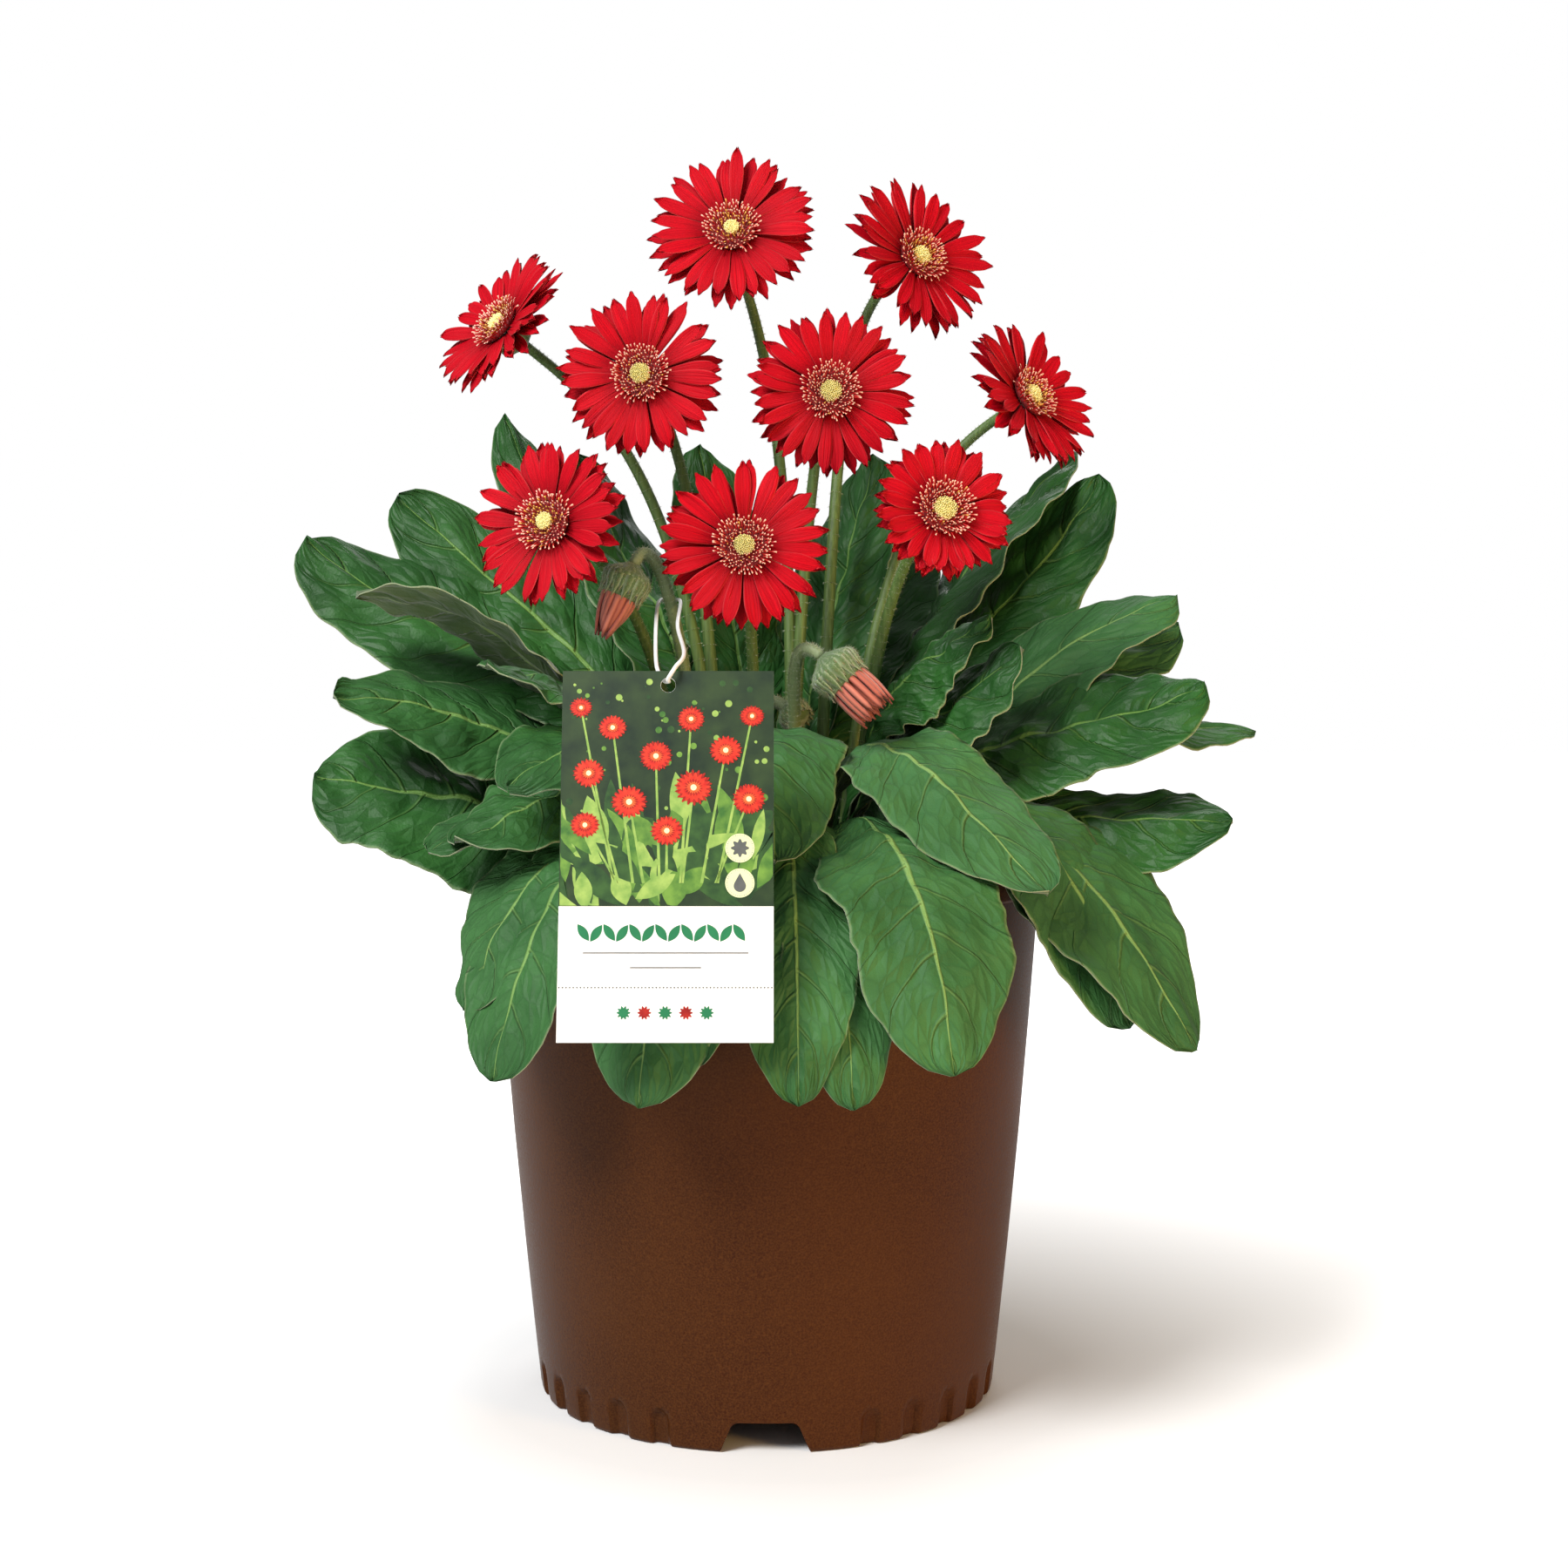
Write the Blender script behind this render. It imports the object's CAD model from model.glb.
# %% [markdown]
# # A potted gerbera
#
# A gerbera in flower stands in its nursery pot: a rosette of puckered leaves, nine red blooms on
# hairy stems, three nodding buds, and a hang tag on a loop of white plastic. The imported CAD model
# is the frame, and each piece here takes the place of one of its nodes with a finer shape.

# %% Load the frame
import math
import random
from collections import namedtuple

import bmesh
import bpy
from mathutils import Matrix, Vector, noise


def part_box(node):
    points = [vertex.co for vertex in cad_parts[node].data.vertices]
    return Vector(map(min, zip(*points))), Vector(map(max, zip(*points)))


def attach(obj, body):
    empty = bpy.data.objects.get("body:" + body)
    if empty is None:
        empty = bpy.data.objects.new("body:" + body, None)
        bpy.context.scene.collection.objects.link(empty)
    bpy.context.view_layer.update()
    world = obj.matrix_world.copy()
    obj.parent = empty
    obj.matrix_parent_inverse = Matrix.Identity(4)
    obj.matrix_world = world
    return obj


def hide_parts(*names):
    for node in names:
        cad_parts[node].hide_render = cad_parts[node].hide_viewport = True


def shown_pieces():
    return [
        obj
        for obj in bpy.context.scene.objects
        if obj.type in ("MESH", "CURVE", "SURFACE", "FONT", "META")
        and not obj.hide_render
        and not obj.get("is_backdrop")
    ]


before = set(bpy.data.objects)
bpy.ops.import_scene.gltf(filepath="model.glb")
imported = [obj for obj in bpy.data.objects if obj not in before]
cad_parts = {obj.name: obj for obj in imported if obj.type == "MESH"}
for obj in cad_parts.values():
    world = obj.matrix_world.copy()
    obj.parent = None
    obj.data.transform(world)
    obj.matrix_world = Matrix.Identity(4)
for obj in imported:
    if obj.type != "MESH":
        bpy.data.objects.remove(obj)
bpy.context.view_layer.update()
MM = 0.001
print("nodes in the frame:", len(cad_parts))

# %% [markdown]
# ## Where the plant stands
#
# The whole box of the part stands centred on the origin, so the pot's axis lies a little to one
# side. The pot's own box gives that axis, its rim and its height. All the shapes below are drawn
# about the pot's axis, and moved to it at the end.

# %% Read the pot's axis and sizes
pot_low, pot_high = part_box("pot")
AXIS = Vector(((pot_low.x + pot_high.x) / 2, (pot_low.y + pot_high.y) / 2, 0))
PLANT = Matrix.Translation(AXIS)
RIM_RADIUS = (pot_high.x - pot_low.x) / 2
POT_HEIGHT = pot_high.z
SOIL_TOP = POT_HEIGHT - 19 * MM
ROOT_DEPTH = 5 * MM
print("pot axis at", tuple(round(value, 4) for value in AXIS), "rim radius", round(RIM_RADIUS, 4))

# %% [markdown]
# ## The camera
#
# A product photograph of a plant this size is taken from under a metre away with a normal lens,
# at about the height of the leaves. The camera comes first, so that each piece can be checked
# against the photograph as soon as it is made.

# %% Set the camera
CAMERA_PLACE = Vector((7, -885, 285)) * MM
CAMERA_DIP = 2.66


def put(name, data):
    """A new object of the scene."""
    made = bpy.data.objects.new(name, data)
    bpy.context.scene.collection.objects.link(made)
    return made


lens = bpy.data.cameras.new("camera")
lens.lens = 50
lens.sensor_width = 36
camera = put("camera", lens)
camera.location = AXIS + CAMERA_PLACE
camera.rotation_euler = (math.radians(90 - CAMERA_DIP), 0, 0)
bpy.context.scene.camera = camera

# %% [markdown]
# ## Building materials from nodes
#
# Every finish is a Principled shader fed by a few texture nodes. Small helpers keep the node trees
# readable: one adds a node with its settings and inputs at once, and others mix colours, ramp a
# value, read a place or give a relief.

# %% Helpers for node trees
def add(tree, kind, inputs=None, **settings):
    """One shader node; an input is a value or the socket that feeds it."""
    made = tree.nodes.new("ShaderNode" + kind)
    for key, value in settings.items():
        setattr(made, key, value)
    for key, value in (inputs or {}).items():
        if isinstance(value, bpy.types.NodeSocket):
            tree.links.new(value, made.inputs[key])
        else:
            made.inputs[key].default_value = value
    return made


def calc(tree, operation, *values):
    """A Math node's result."""
    return add(tree, "Math", dict(enumerate(values)), operation=operation).outputs[0]


def times(tree, first, second):
    """A product, as for a mask at part of its strength."""
    return calc(tree, "MULTIPLY", first, second)


def blend(tree, share, first, second):
    """A colour between two colours; each is a socket or three numbers."""
    first, second = ((*c, 1) if isinstance(c, tuple) else c for c in (first, second))
    return add(tree, "Mix", {0: share, 6: first, 7: second}, data_type="RGBA").outputs[2]


def ramp(tree, value, low, high):
    """0 at low and 1 at high, clamped."""
    made = add(tree, "MapRange", {"Value": value, "From Min": low, "From Max": high}, clamp=True)
    return made.outputs["Result"]


def here(tree):
    """Object coordinates, which are metres in the frame."""
    return add(tree, "TexCoord").outputs["Object"]


def places(tree):
    """The (u, s, tone) place that each point of a strip keeps, whole and as X, Y and Z."""
    spot = add(tree, "Attribute", attribute_name="place").outputs["Vector"]
    return spot, add(tree, "SeparateXYZ", {0: spot}).outputs


def cloud(tree, where, scale, detail, stretch=None):
    """A noise's value; stretch gives it another scale along each axis."""
    if stretch:
        where = add(tree, "Mapping", {"Vector": where, "Scale": stretch}).outputs[0]
    return add(tree, "TexNoise", {"Vector": where, "Scale": scale, "Detail": detail}).outputs["Fac"]


def relief(tree, height, strength, distance):
    """The normal that a height gives."""
    sockets = {"Height": height, "Strength": strength, "Distance": distance}
    return add(tree, "Bump", sockets).outputs["Normal"]


def new_group(name, inputs, outputs):
    """A node group with named sockets, each (label, kind, starting value)."""
    group = bpy.data.node_groups.new(name, "ShaderNodeTree")
    for label, kind, value in inputs:
        socket = group.interface.new_socket(label, in_out="INPUT", socket_type="NodeSocket" + kind)
        socket.default_value = value
    for label, kind in outputs:
        group.interface.new_socket(label, in_out="OUTPUT", socket_type="NodeSocket" + kind)
    return group, group.nodes.new("NodeGroupInput").outputs, group.nodes.new("NodeGroupOutput").inputs


def finish(name, roughness, **sockets):
    """A new material: its tree and its Principled shader, with plain values set on its sockets."""
    made = bpy.data.materials.new(name)
    made.use_nodes = True
    shader = made.node_tree.nodes["Principled BSDF"]
    shader.inputs["Roughness"].default_value = roughness
    for label, value in sockets.items():
        shader.inputs[label.replace("_", " ")].default_value = value
    return made, made.node_tree, shader


def feed(shader, **sources):
    """Links sockets of a shader, given by name, to what varies over the surface."""
    for label, source in sources.items():
        shader.id_data.links.new(source, shader.inputs[label.replace("_", " ")])


# %% [markdown]
# ## Effects that several finishes share
#
# Plastic, soil, skin and card all have a fine grain that breaks up their gloss, and none has one
# even colour. Both effects are node groups, so each material only gives its own values. They read
# Object coordinates, which are metres in the frame, so their scales are real sizes.

# %% The grain and mottle groups
grain_group, given, result = new_group(
    "Fine Grain",
    [("Scale", "Float", 900.0), ("Strength", "Float", 0.3), ("Distance", "Float", 0.0003)],
    [("Normal", "Vector")],
)
speck = cloud(grain_group, here(grain_group), given["Scale"], 3.0)
bump = relief(grain_group, speck, given["Strength"], given["Distance"])
grain_group.links.new(bump, result["Normal"])

mottle_group, given, result = new_group(
    "Mottle",
    [("Scale", "Float", 30.0), ("Light", "Color", (1, 1, 1, 1)), ("Dark", "Color", (0, 0, 0, 1))],
    [("Color", "Color")],
)
mask = ramp(mottle_group, cloud(mottle_group, here(mottle_group), given["Scale"], 4.0), 0.32, 0.68)
mottle_group.links.new(blend(mottle_group, mask, given["Dark"], given["Light"]), result["Color"])


def grain(tree, scale, strength, distance):
    """The grain's normal, for a shader."""
    values = {"Scale": scale, "Strength": strength, "Distance": distance}
    return add(tree, "Group", values, node_tree=grain_group).outputs["Normal"]


def mottle(tree, scale, light, dark):
    """A colour that wanders between two, for a shader."""
    values = {"Scale": scale, "Light": (*light, 1), "Dark": (*dark, 1)}
    return add(tree, "Group", values, node_tree=mottle_group).outputs["Color"]


def mottled(name, roughness, scale, light, dark, fine=None, **sockets):
    """A finish whose colour wanders between two, with a fine grain where one is given."""
    made, tree, shader = finish(name, roughness, **sockets)
    feed(shader, Base_Color=mottle(tree, scale, light, dark))
    if fine:
        feed(shader, Normal=grain(tree, *fine))
    return made


# %% [markdown]
# ## How leaves, petals and hairs are drawn
#
# Leaves, petals, bracts and florets are all strips: thin closed slabs that a grid gives, with u
# across from -1 to 1 and s along from 0 to 1. One template of each fineness is made, and a formula
# bends every copy into place. Each point keeps its own (u, s, tone) in an attribute, so that the
# materials can put veins and margins where they belong on a bent surface.

# %% Helpers for strips, tubes and pieces
def blank():
    """An empty bmesh whose points can keep their places."""
    bm = bmesh.new()
    bm.verts.layers.float_vector.new("place")
    return bm


def as_mesh(bm, name):
    """A bmesh's mesh; the bmesh is freed."""
    mesh = bpy.data.meshes.new(name)
    bm.to_mesh(mesh)
    bm.free()
    return mesh


def thicken(bm, faces, rise, finish_index):
    """Makes faces a closed slab, whose new side lies rise above them and has a finish of its own."""
    for item in bmesh.ops.extrude_face_region(bm, geom=faces, use_keep_orig=True)["geom"]:
        if isinstance(item, bmesh.types.BMVert):
            item.co.z += rise
        elif isinstance(item, bmesh.types.BMFace):
            item.material_index = finish_index


def strip_template(columns, rows):
    """A closed slab as a template: x is u, y is s, and z is 0 on the face and -1 on the back."""
    bm = blank()
    bmesh.ops.create_grid(bm, x_segments=columns, y_segments=rows, size=1)
    for vert in bm.verts:
        vert.co.y = (vert.co.y + 1) / 2
    thicken(bm, bm.faces[:], -1, 1)
    return as_mesh(bm, "strip template")


def round_template(segments, radius_low, radius_high):
    """A short cone as a template, standing on z 0 and 1 high."""
    bm = blank()
    bmesh.ops.create_cone(
        bm, cap_ends=True, segments=segments, radius1=radius_low, radius2=radius_high, depth=1
    )
    bmesh.ops.translate(bm, verts=bm.verts, vec=(0, 0, 0.5))
    return as_mesh(bm, "round template")


def fresh(bm, template, finish_index=None):
    """The vertices of one more copy of a template, and the layer that keeps their places."""
    first, first_face = len(bm.verts), len(bm.faces)
    bm.from_mesh(template)
    bm.verts.ensure_lookup_table()
    if finish_index is not None:
        bm.faces.ensure_lookup_table()
        for face in bm.faces[first_face:]:
            face.material_index = finish_index
    return bm.verts[first:], bm.verts.layers.float_vector["place"]


def draw(bm, template, shape, tone=0.0, finish_index=None, kept=None):
    """Adds one strip: shape(u, s, below) moves each point, and kept(s) may change the s it keeps."""
    verts, layer = fresh(bm, template, finish_index)
    for vert in verts:
        u, s, back = vert.co
        s = min(max(s, 0.0), 1.0)
        vert[layer] = (u, kept(s) if kept else s, tone)
        vert.co = shape(u, s, back < -0.5)


def stamp(bm, template, matrix, tone=0.0, finish_index=None):
    """Adds one rigid copy of a template."""
    verts, layer = fresh(bm, template, finish_index)
    for vert in verts:
        vert[layer] = (0, vert.co.z, tone)
        vert.co = matrix @ vert.co


def roll_up(bm, sides, rows, shape, tone=0.0, finish_index=0):
    """Adds a closed tube: a grid whose x runs once round, where shape(turn, s) gives each point."""
    tube = blank()
    layer = tube.verts.layers.float_vector["place"]
    for vert in bmesh.ops.create_grid(tube, x_segments=sides, y_segments=rows, size=1)["verts"]:
        turn, s = (vert.co.x + 1) / 2, min(max((vert.co.y + 1) / 2, 0.0), 1.0)
        vert[layer] = (turn, s, tone)
        vert.co = shape(turn, s)
    bmesh.ops.remove_doubles(tube, verts=tube.verts, dist=1e-6)
    bmesh.ops.holes_fill(tube, edges=[edge for edge in tube.edges if edge.is_boundary], sides=0)
    for face in tube.faces:
        face.material_index = finish_index
    mesh = as_mesh(tube, "tube")
    bm.from_mesh(mesh)
    bpy.data.meshes.remove(mesh)


def new_piece(name, bm, finishes, node=None, sharp=None):
    """Turns a bmesh into a piece of the plant that rides on the root and may stand for a node."""
    bmesh.ops.recalc_face_normals(bm, faces=bm.faces)
    bm.transform(PLANT)
    mesh = as_mesh(bm, name)
    mesh.shade_smooth()
    if sharp:
        mesh.set_sharp_from_angle(angle=math.radians(sharp))
    for each in finishes:
        mesh.materials.append(each)
    piece = put(name, mesh)
    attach(piece, "root")
    if node:
        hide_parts(node)
    return piece


HAIR = round_template(3, 1, 0)
BEAD = round_template(5, 1, 0.45)
HAIR_RADIUS = 0.05 * MM


def hair(bm, root, way, length, tone):
    """One stiff hair, a slim three-sided spike, in the piece's second finish."""
    turn = way.to_track_quat("Z", "Y").to_matrix().to_4x4()
    size = Matrix.Diagonal((HAIR_RADIUS, HAIR_RADIUS, length, 1))
    stamp(bm, HAIR, Matrix.Translation(root) @ turn @ size, tone, 1)


def jitter(rng):
    """A random vector, each part of it from -1 to 1."""
    return Vector([rng.uniform(-1, 1) for part in range(3)])


# %% Directions and curves
def compass(azimuth):
    """A level unit vector: azimuth 0 is the front (-Y) and 90 the right (+X)."""
    angle = math.radians(azimuth)
    return Vector((math.sin(angle), -math.cos(angle), 0))


def pitched(level, pitch):
    """A level direction raised by an angle in degrees."""
    angle = math.radians(pitch)
    return level * math.cos(angle) + Vector((0, 0, math.sin(angle)))


def bezier(points, t):
    """A point of a cubic Bezier."""
    a, b, c, d = points
    s = 1 - t
    return a * s**3 + b * (3 * s * s * t) + c * (3 * s * t * t) + d * t**3


def bezier_slope(points, t):
    """The unit direction of a cubic Bezier."""
    a, b, c, d = points
    s = 1 - t
    return ((b - a) * (s * s) + (c - b) * (2 * s * t) + (d - c) * (t * t)).normalized()


def eased(value):
    """A smooth step from 0 to 1."""
    value = min(max(value, 0.0), 1.0)
    return value * value * (3 - 2 * value)


Axes = namedtuple("Axes", "base along side other")
UPRIGHT = Axes(Vector((0, 0, 0)), Vector((0, 0, 1)), Vector((1, 0, 0)), Vector((0, 1, 0)))


def axes_at(base, along, hint=Vector((1, 0.2, 0))):
    """Axes on a point and a direction, with the side as near to the hint as it can be."""
    side = (hint - along * hint.dot(along)).normalized()
    return Axes(base, along, side, along.cross(side))


def spoke(axes, angle):
    """The direction out from the axis, at an angle round it."""
    return axes.side * math.cos(angle) + axes.other * math.sin(angle)


def round_point(axes, angle, radius, height=0):
    """A point at an angle round the axis, a radius out from it and a height along it."""
    return axes.base + axes.along * height + spoke(axes, angle) * radius


# %% [markdown]
# ## The pot
#
# The pot is injection-moulded polypropylene, a cone turned from one section: a thin wall, a rolled
# lip and a raised floor. A section spun round the axis gives it, with many steps so that the edge
# is round. Seven shallow flutes are pressed into the foot between the drain notches, so the foot's
# points are moved inward by a formula. The notches and the floor's drain holes go right through
# and are cut by a Boolean.

# %% The pot's sizes
POT_STEPS = 480
FOOT_RADIUS = 0.806 * RIM_RADIUS
WALL = 2.2 * MM
WALL_HEIGHTS = (4, 6, 8, 10, 12, 13.5, 15, 17, 20, 30, 60, 105, 150, 190)
LIP_DEPTH = 10 * MM
LIP_PROUD = 3.5 * MM
LIP_ROUND = 1.4 * MM
FLOOR_RAISED = 13 * MM
FLOOR_THICK = 2.5 * MM
FOOT_THICK = 5 * MM
FOOT_ROUND = 2 * MM
DRAINS = 6
DRAIN_RADIUS = 6 * MM
DRAIN_RING = 62 * MM
NOTCHES = 3
NOTCH_TOP = 24 * MM
NOTCH_BOTTOM = 37 * MM
NOTCH_HEIGHT = 12 * MM
NOTCH_BELOW = 4 * MM
NOTCH_REACH = 20 * MM
NOTCH_ROUND = 2.2 * MM
FLUTES_BETWEEN = 7
FLUTE_PITCH = 11.6
FLUTE_WIDTH = 9 * MM
FLUTE_HEIGHT = 15 * MM
FLUTE_DEPTH = 2.2 * MM


# %% The pot's section
def wall_radius(height):
    """The outside of the wall, with its slight bow."""
    share = height / POT_HEIGHT
    straight = FOOT_RADIUS + (RIM_RADIUS - LIP_PROUD - FOOT_RADIUS) * share
    return straight + 1.2 * MM * math.sin(math.pi * share)


def arc(radius, height, rounding, start, end, steps=5):
    """Points of an arc in the section, angles in degrees from the outward direction."""
    angles = [math.radians(start + (end - start) * step / steps) for step in range(steps + 1)]
    return [(radius + rounding * math.cos(a), height + rounding * math.sin(a)) for a in angles]


def pot_section():
    """(radius, height) points: under the floor, round the foot, up the wall, over the lip, down inside."""
    inner_foot = FOOT_RADIUS - FOOT_THICK
    points = [(0, FLOOR_RAISED), (inner_foot - FOOT_ROUND, FLOOR_RAISED)]
    points += arc(inner_foot - FOOT_ROUND, FLOOR_RAISED - FOOT_ROUND, FOOT_ROUND, 90, 0, 3)
    points += [(inner_foot, 1 * MM), (inner_foot + 1 * MM, 0)]
    points += arc(FOOT_RADIUS - FOOT_ROUND, FOOT_ROUND, FOOT_ROUND, -90, 0)
    lip = POT_HEIGHT - LIP_DEPTH
    points += [(wall_radius(height), height) for height in [each * MM for each in WALL_HEIGHTS] + [lip]]
    points += arc(RIM_RADIUS - LIP_ROUND, lip + LIP_ROUND, LIP_ROUND, -90, 0)
    points += arc(RIM_RADIUS - LIP_ROUND, POT_HEIGHT - LIP_ROUND, LIP_ROUND, 0, 90)
    points += arc(wall_radius(lip) - WALL + LIP_ROUND, POT_HEIGHT - LIP_ROUND, LIP_ROUND, 90, 180)
    halfway, floor_top = 105 * MM, FLOOR_RAISED + FLOOR_THICK
    return points + [(wall_radius(halfway) - WALL, halfway), (FOOT_RADIUS - WALL, floor_top), (0, floor_top)]


def press_flute(vert):
    """Moves a point of the foot's outside inward, where a flute is pressed into it."""
    radius = math.hypot(vert.co.x, vert.co.y)
    if vert.co.z > FLUTE_HEIGHT or radius < FOOT_RADIUS - 2.5 * MM:
        return
    turn = math.degrees(math.atan2(vert.co.x, -vert.co.y)) % (360 / NOTCHES)
    from_middle = turn - 180 / NOTCHES
    nearest = round(from_middle / FLUTE_PITCH)
    if abs(nearest) > FLUTES_BETWEEN // 2:
        return
    half = FLUTE_WIDTH / 2
    aside = math.radians(from_middle - nearest * FLUTE_PITCH) * radius / half
    above = max(0, vert.co.z - (FLUTE_HEIGHT - half)) / half
    depth = FLUTE_DEPTH * eased((1 - math.hypot(aside, above)) / 0.45)
    vert.co.xy *= (radius - depth) / radius


# %% Turn, press and cut the pot
def turned(section, steps):
    """A solid of revolution from a section that starts and ends on the axis."""
    bm = bmesh.new()
    points = [bm.verts.new((radius, 0, height)) for radius, height in section]
    edges = [bm.edges.new(pair) for pair in zip(points, points[1:])]
    bmesh.ops.spin(
        bm, geom=points + edges, cent=(0, 0, 0), axis=(0, 0, 1), angle=math.tau, steps=steps, use_merge=True
    )
    bmesh.ops.remove_doubles(bm, verts=bm.verts, dist=1e-6)
    bmesh.ops.recalc_face_normals(bm, faces=bm.faces)
    return bm


def notch_cutter():
    """Trapezoid prisms that cut the drain notches through the foot."""
    bm = bmesh.new()
    for index in range(NOTCHES):
        made = bmesh.ops.create_cube(bm, size=1)["verts"]
        for vert in made:
            wide = NOTCH_TOP if vert.co.z > 0 else NOTCH_BOTTOM
            side = math.copysign(0.5 * wide, vert.co.x)
            deep = -FOOT_RADIUS + math.copysign(NOTCH_REACH, vert.co.y)
            vert.co = (side, deep, NOTCH_HEIGHT if vert.co.z > 0 else -NOTCH_BELOW)
        turn = Matrix.Rotation(math.tau * index / NOTCHES, 3, "Z")
        bmesh.ops.rotate(bm, verts=made, cent=(0, 0, 0), matrix=turn)
    corners = [edge for edge in bm.edges if min(vert.co.z for vert in edge.verts) > 0]
    corners = [edge for edge in corners if edge.calc_length() > 1.5 * NOTCH_REACH]
    bmesh.ops.bevel(
        bm, geom=corners, offset=NOTCH_ROUND, segments=4, profile=0.5, affect="EDGES", material=-1
    )
    return bm


def add_drills(bm):
    """Adds the round cutters of the drain holes in the raised floor."""
    for index in range(DRAINS):
        drill = bmesh.ops.create_cone(
            bm, cap_ends=True, segments=32, radius1=DRAIN_RADIUS, radius2=DRAIN_RADIUS, depth=4 * FLOOR_THICK
        )["verts"]
        spot = compass(360 * (index + 0.5) / DRAINS) * DRAIN_RING
        spot.z = FLOOR_RAISED + FLOOR_THICK / 2
        bmesh.ops.translate(bm, verts=drill, vec=spot)
    return bm


def cut_away(bm, cutter_bm):
    """The first solid less the second, by an exact Boolean."""
    pair = [put("boolean part", as_mesh(source, "boolean part")) for source in (bm, cutter_bm)]
    step = pair[0].modifiers.new("cut", "BOOLEAN")
    step.operation, step.object, step.solver = "DIFFERENCE", pair[1], "EXACT"
    graph = bpy.context.evaluated_depsgraph_get()
    result_bm = bmesh.new()
    result_bm.from_object(pair[0], graph)
    for used in pair:
        bpy.data.objects.remove(used)
    return result_bm


pot_plastic, tree, shader = finish("pot plastic", 0.42, Specular_IOR_Level=0.08)
speckle = cloud(tree, here(tree), 1400.0, 2.0)
brown = mottle(tree, 14.0, (0.058, 0.017, 0.0035), (0.040, 0.011, 0.003))
speckled = blend(tree, ramp(tree, speckle, 0.35, 0.75), brown, (0.088, 0.030, 0.007))
feed(shader, Base_Color=speckled, Roughness=ramp(tree, speckle, -0.4, 2.0))
feed(shader, Normal=grain(tree, 700.0, 0.16, 0.0004))

pot = turned(pot_section(), POT_STEPS)
for vert in pot.verts:
    press_flute(vert)
pot = cut_away(pot, add_drills(notch_cutter()))
nursery_pot = new_piece("nursery_pot", pot, [pot_plastic], "pot", sharp=35)
print("pot triangles", sum(len(p.vertices) - 2 for p in nursery_pot.data.polygons))

# %% [markdown]
# ## The potting mix
#
# The soil is peat and bark, dark and crumbly. Its body is turned like the pot, its top is broken up
# by noise in the shape itself, and some six hundred angular crumbs of bark lie on it. They are one
# mesh, and each crumb is only a small cut-off cone.

# %% The soil and its crumbs
SOIL_RADIUS = FOOT_RADIUS + 13.4 * MM
SOIL_CROWN = 4 * MM
SOIL_LUMPS = 1.5 * MM
SOIL_HALFWAY = 105 * MM
CRUMBS = 620
CRUMB_SEED = 5
SOIL_STEPS = 110


def soil_height(x, y):
    """The top of the soil, slightly crowned and uneven."""
    share = min(math.hypot(x, y) / SOIL_RADIUS, 1)
    lumps = noise.fractal(Vector((x, y, 0)) * 90, 0.8, 2.1, 4) * SOIL_LUMPS
    crown = SOIL_CROWN * (1 - share**2) - 3 * MM * eased((share - 0.8) / 0.2)
    return SOIL_TOP - 0.5 * MM + crown + lumps


soil_mix = mottled(
    "potting mix", 0.95, 260.0, (0.055, 0.032, 0.02), (0.012, 0.008, 0.006), (900.0, 0.8, 0.0012),
    Specular_IOR_Level=0.2,
)
bark = mottled(
    "bark crumbs", 0.85, 400.0, (0.16, 0.085, 0.045), (0.028, 0.016, 0.01), (1200.0, 0.5, 0.0006)
)

soil_floor = FLOOR_RAISED + FLOOR_THICK + 0.3 * MM
section = [(0, soil_floor), (FOOT_RADIUS - 3.5 * MM, soil_floor), (FOOT_RADIUS + 6.6 * MM, SOIL_HALFWAY)]
section += [(SOIL_RADIUS * (1 - step / 40), SOIL_TOP - 3 * MM) for step in range(41)]
soil = turned(section, SOIL_STEPS)
for vert in soil.verts:
    if vert.co.z > SOIL_TOP - 4 * MM:
        vert.co.z = soil_height(vert.co.x, vert.co.y)
new_piece("potting_mix", soil, [soil_mix], "soil")

rng = random.Random(CRUMB_SEED)
crumbs = bmesh.new()
for index in range(CRUMBS):
    reach = SOIL_RADIUS * math.sqrt(rng.random()) * 0.97
    spot = compass(rng.uniform(0, 360)) * reach
    spot.z = soil_height(spot.x, spot.y)
    size = rng.uniform(0.8, 2.6) * MM
    turn = Matrix.Rotation(rng.uniform(0, math.tau), 4, "Z") @ Matrix.Rotation(rng.uniform(0, 1.4), 4, "X")
    shape = Matrix.Diagonal((size * rng.uniform(0.8, 1.8), size, size * 0.7, 1))
    stamp(crumbs, BEAD, Matrix.Translation(spot) @ turn @ shape)
new_piece("soil_crumbs", crumbs, [bark], sharp=30)

# %% [markdown]
# ## Leaf finishes
#
# A gerbera leaf is glossy and puckered above, with a pale midrib and side veins that run out to the
# margin, and felted olive-grey below. The veins are drawn by arithmetic on the (u, t) places that
# each leaf carries: a side vein is a line where t less a share of |u| is a whole number of steps.
# The same rule raises the puckers in the mesh, so that colour and shape agree.

# %% The veins group
SIDE_VEINS = 7
VEIN_RISE = 0.17
VEIN_CURVE = 1.15
VEIN_STAGGER = 0.2
vein_tree, given, result = new_group(
    "Leaf Veins",
    [("Veins", "Float", SIDE_VEINS), ("Rise", "Float", VEIN_RISE)],
    [(label, "Float") for label in ("Midrib", "Side Veins", "Net", "Pillow", "Margin", "Tone", "Across")],
)
spot, parts = places(vein_tree)
wobble = calc(vein_tree, "SUBTRACT", cloud(vein_tree, spot, 1.8, 1.0), 0.5)
across = calc(vein_tree, "ABSOLUTE", parts["X"])
along = calc(vein_tree, "ADD", parts["Y"], times(vein_tree, wobble, 0.03))
rise = times(vein_tree, calc(vein_tree, "POWER", across, VEIN_CURVE), given["Rise"])
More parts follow.
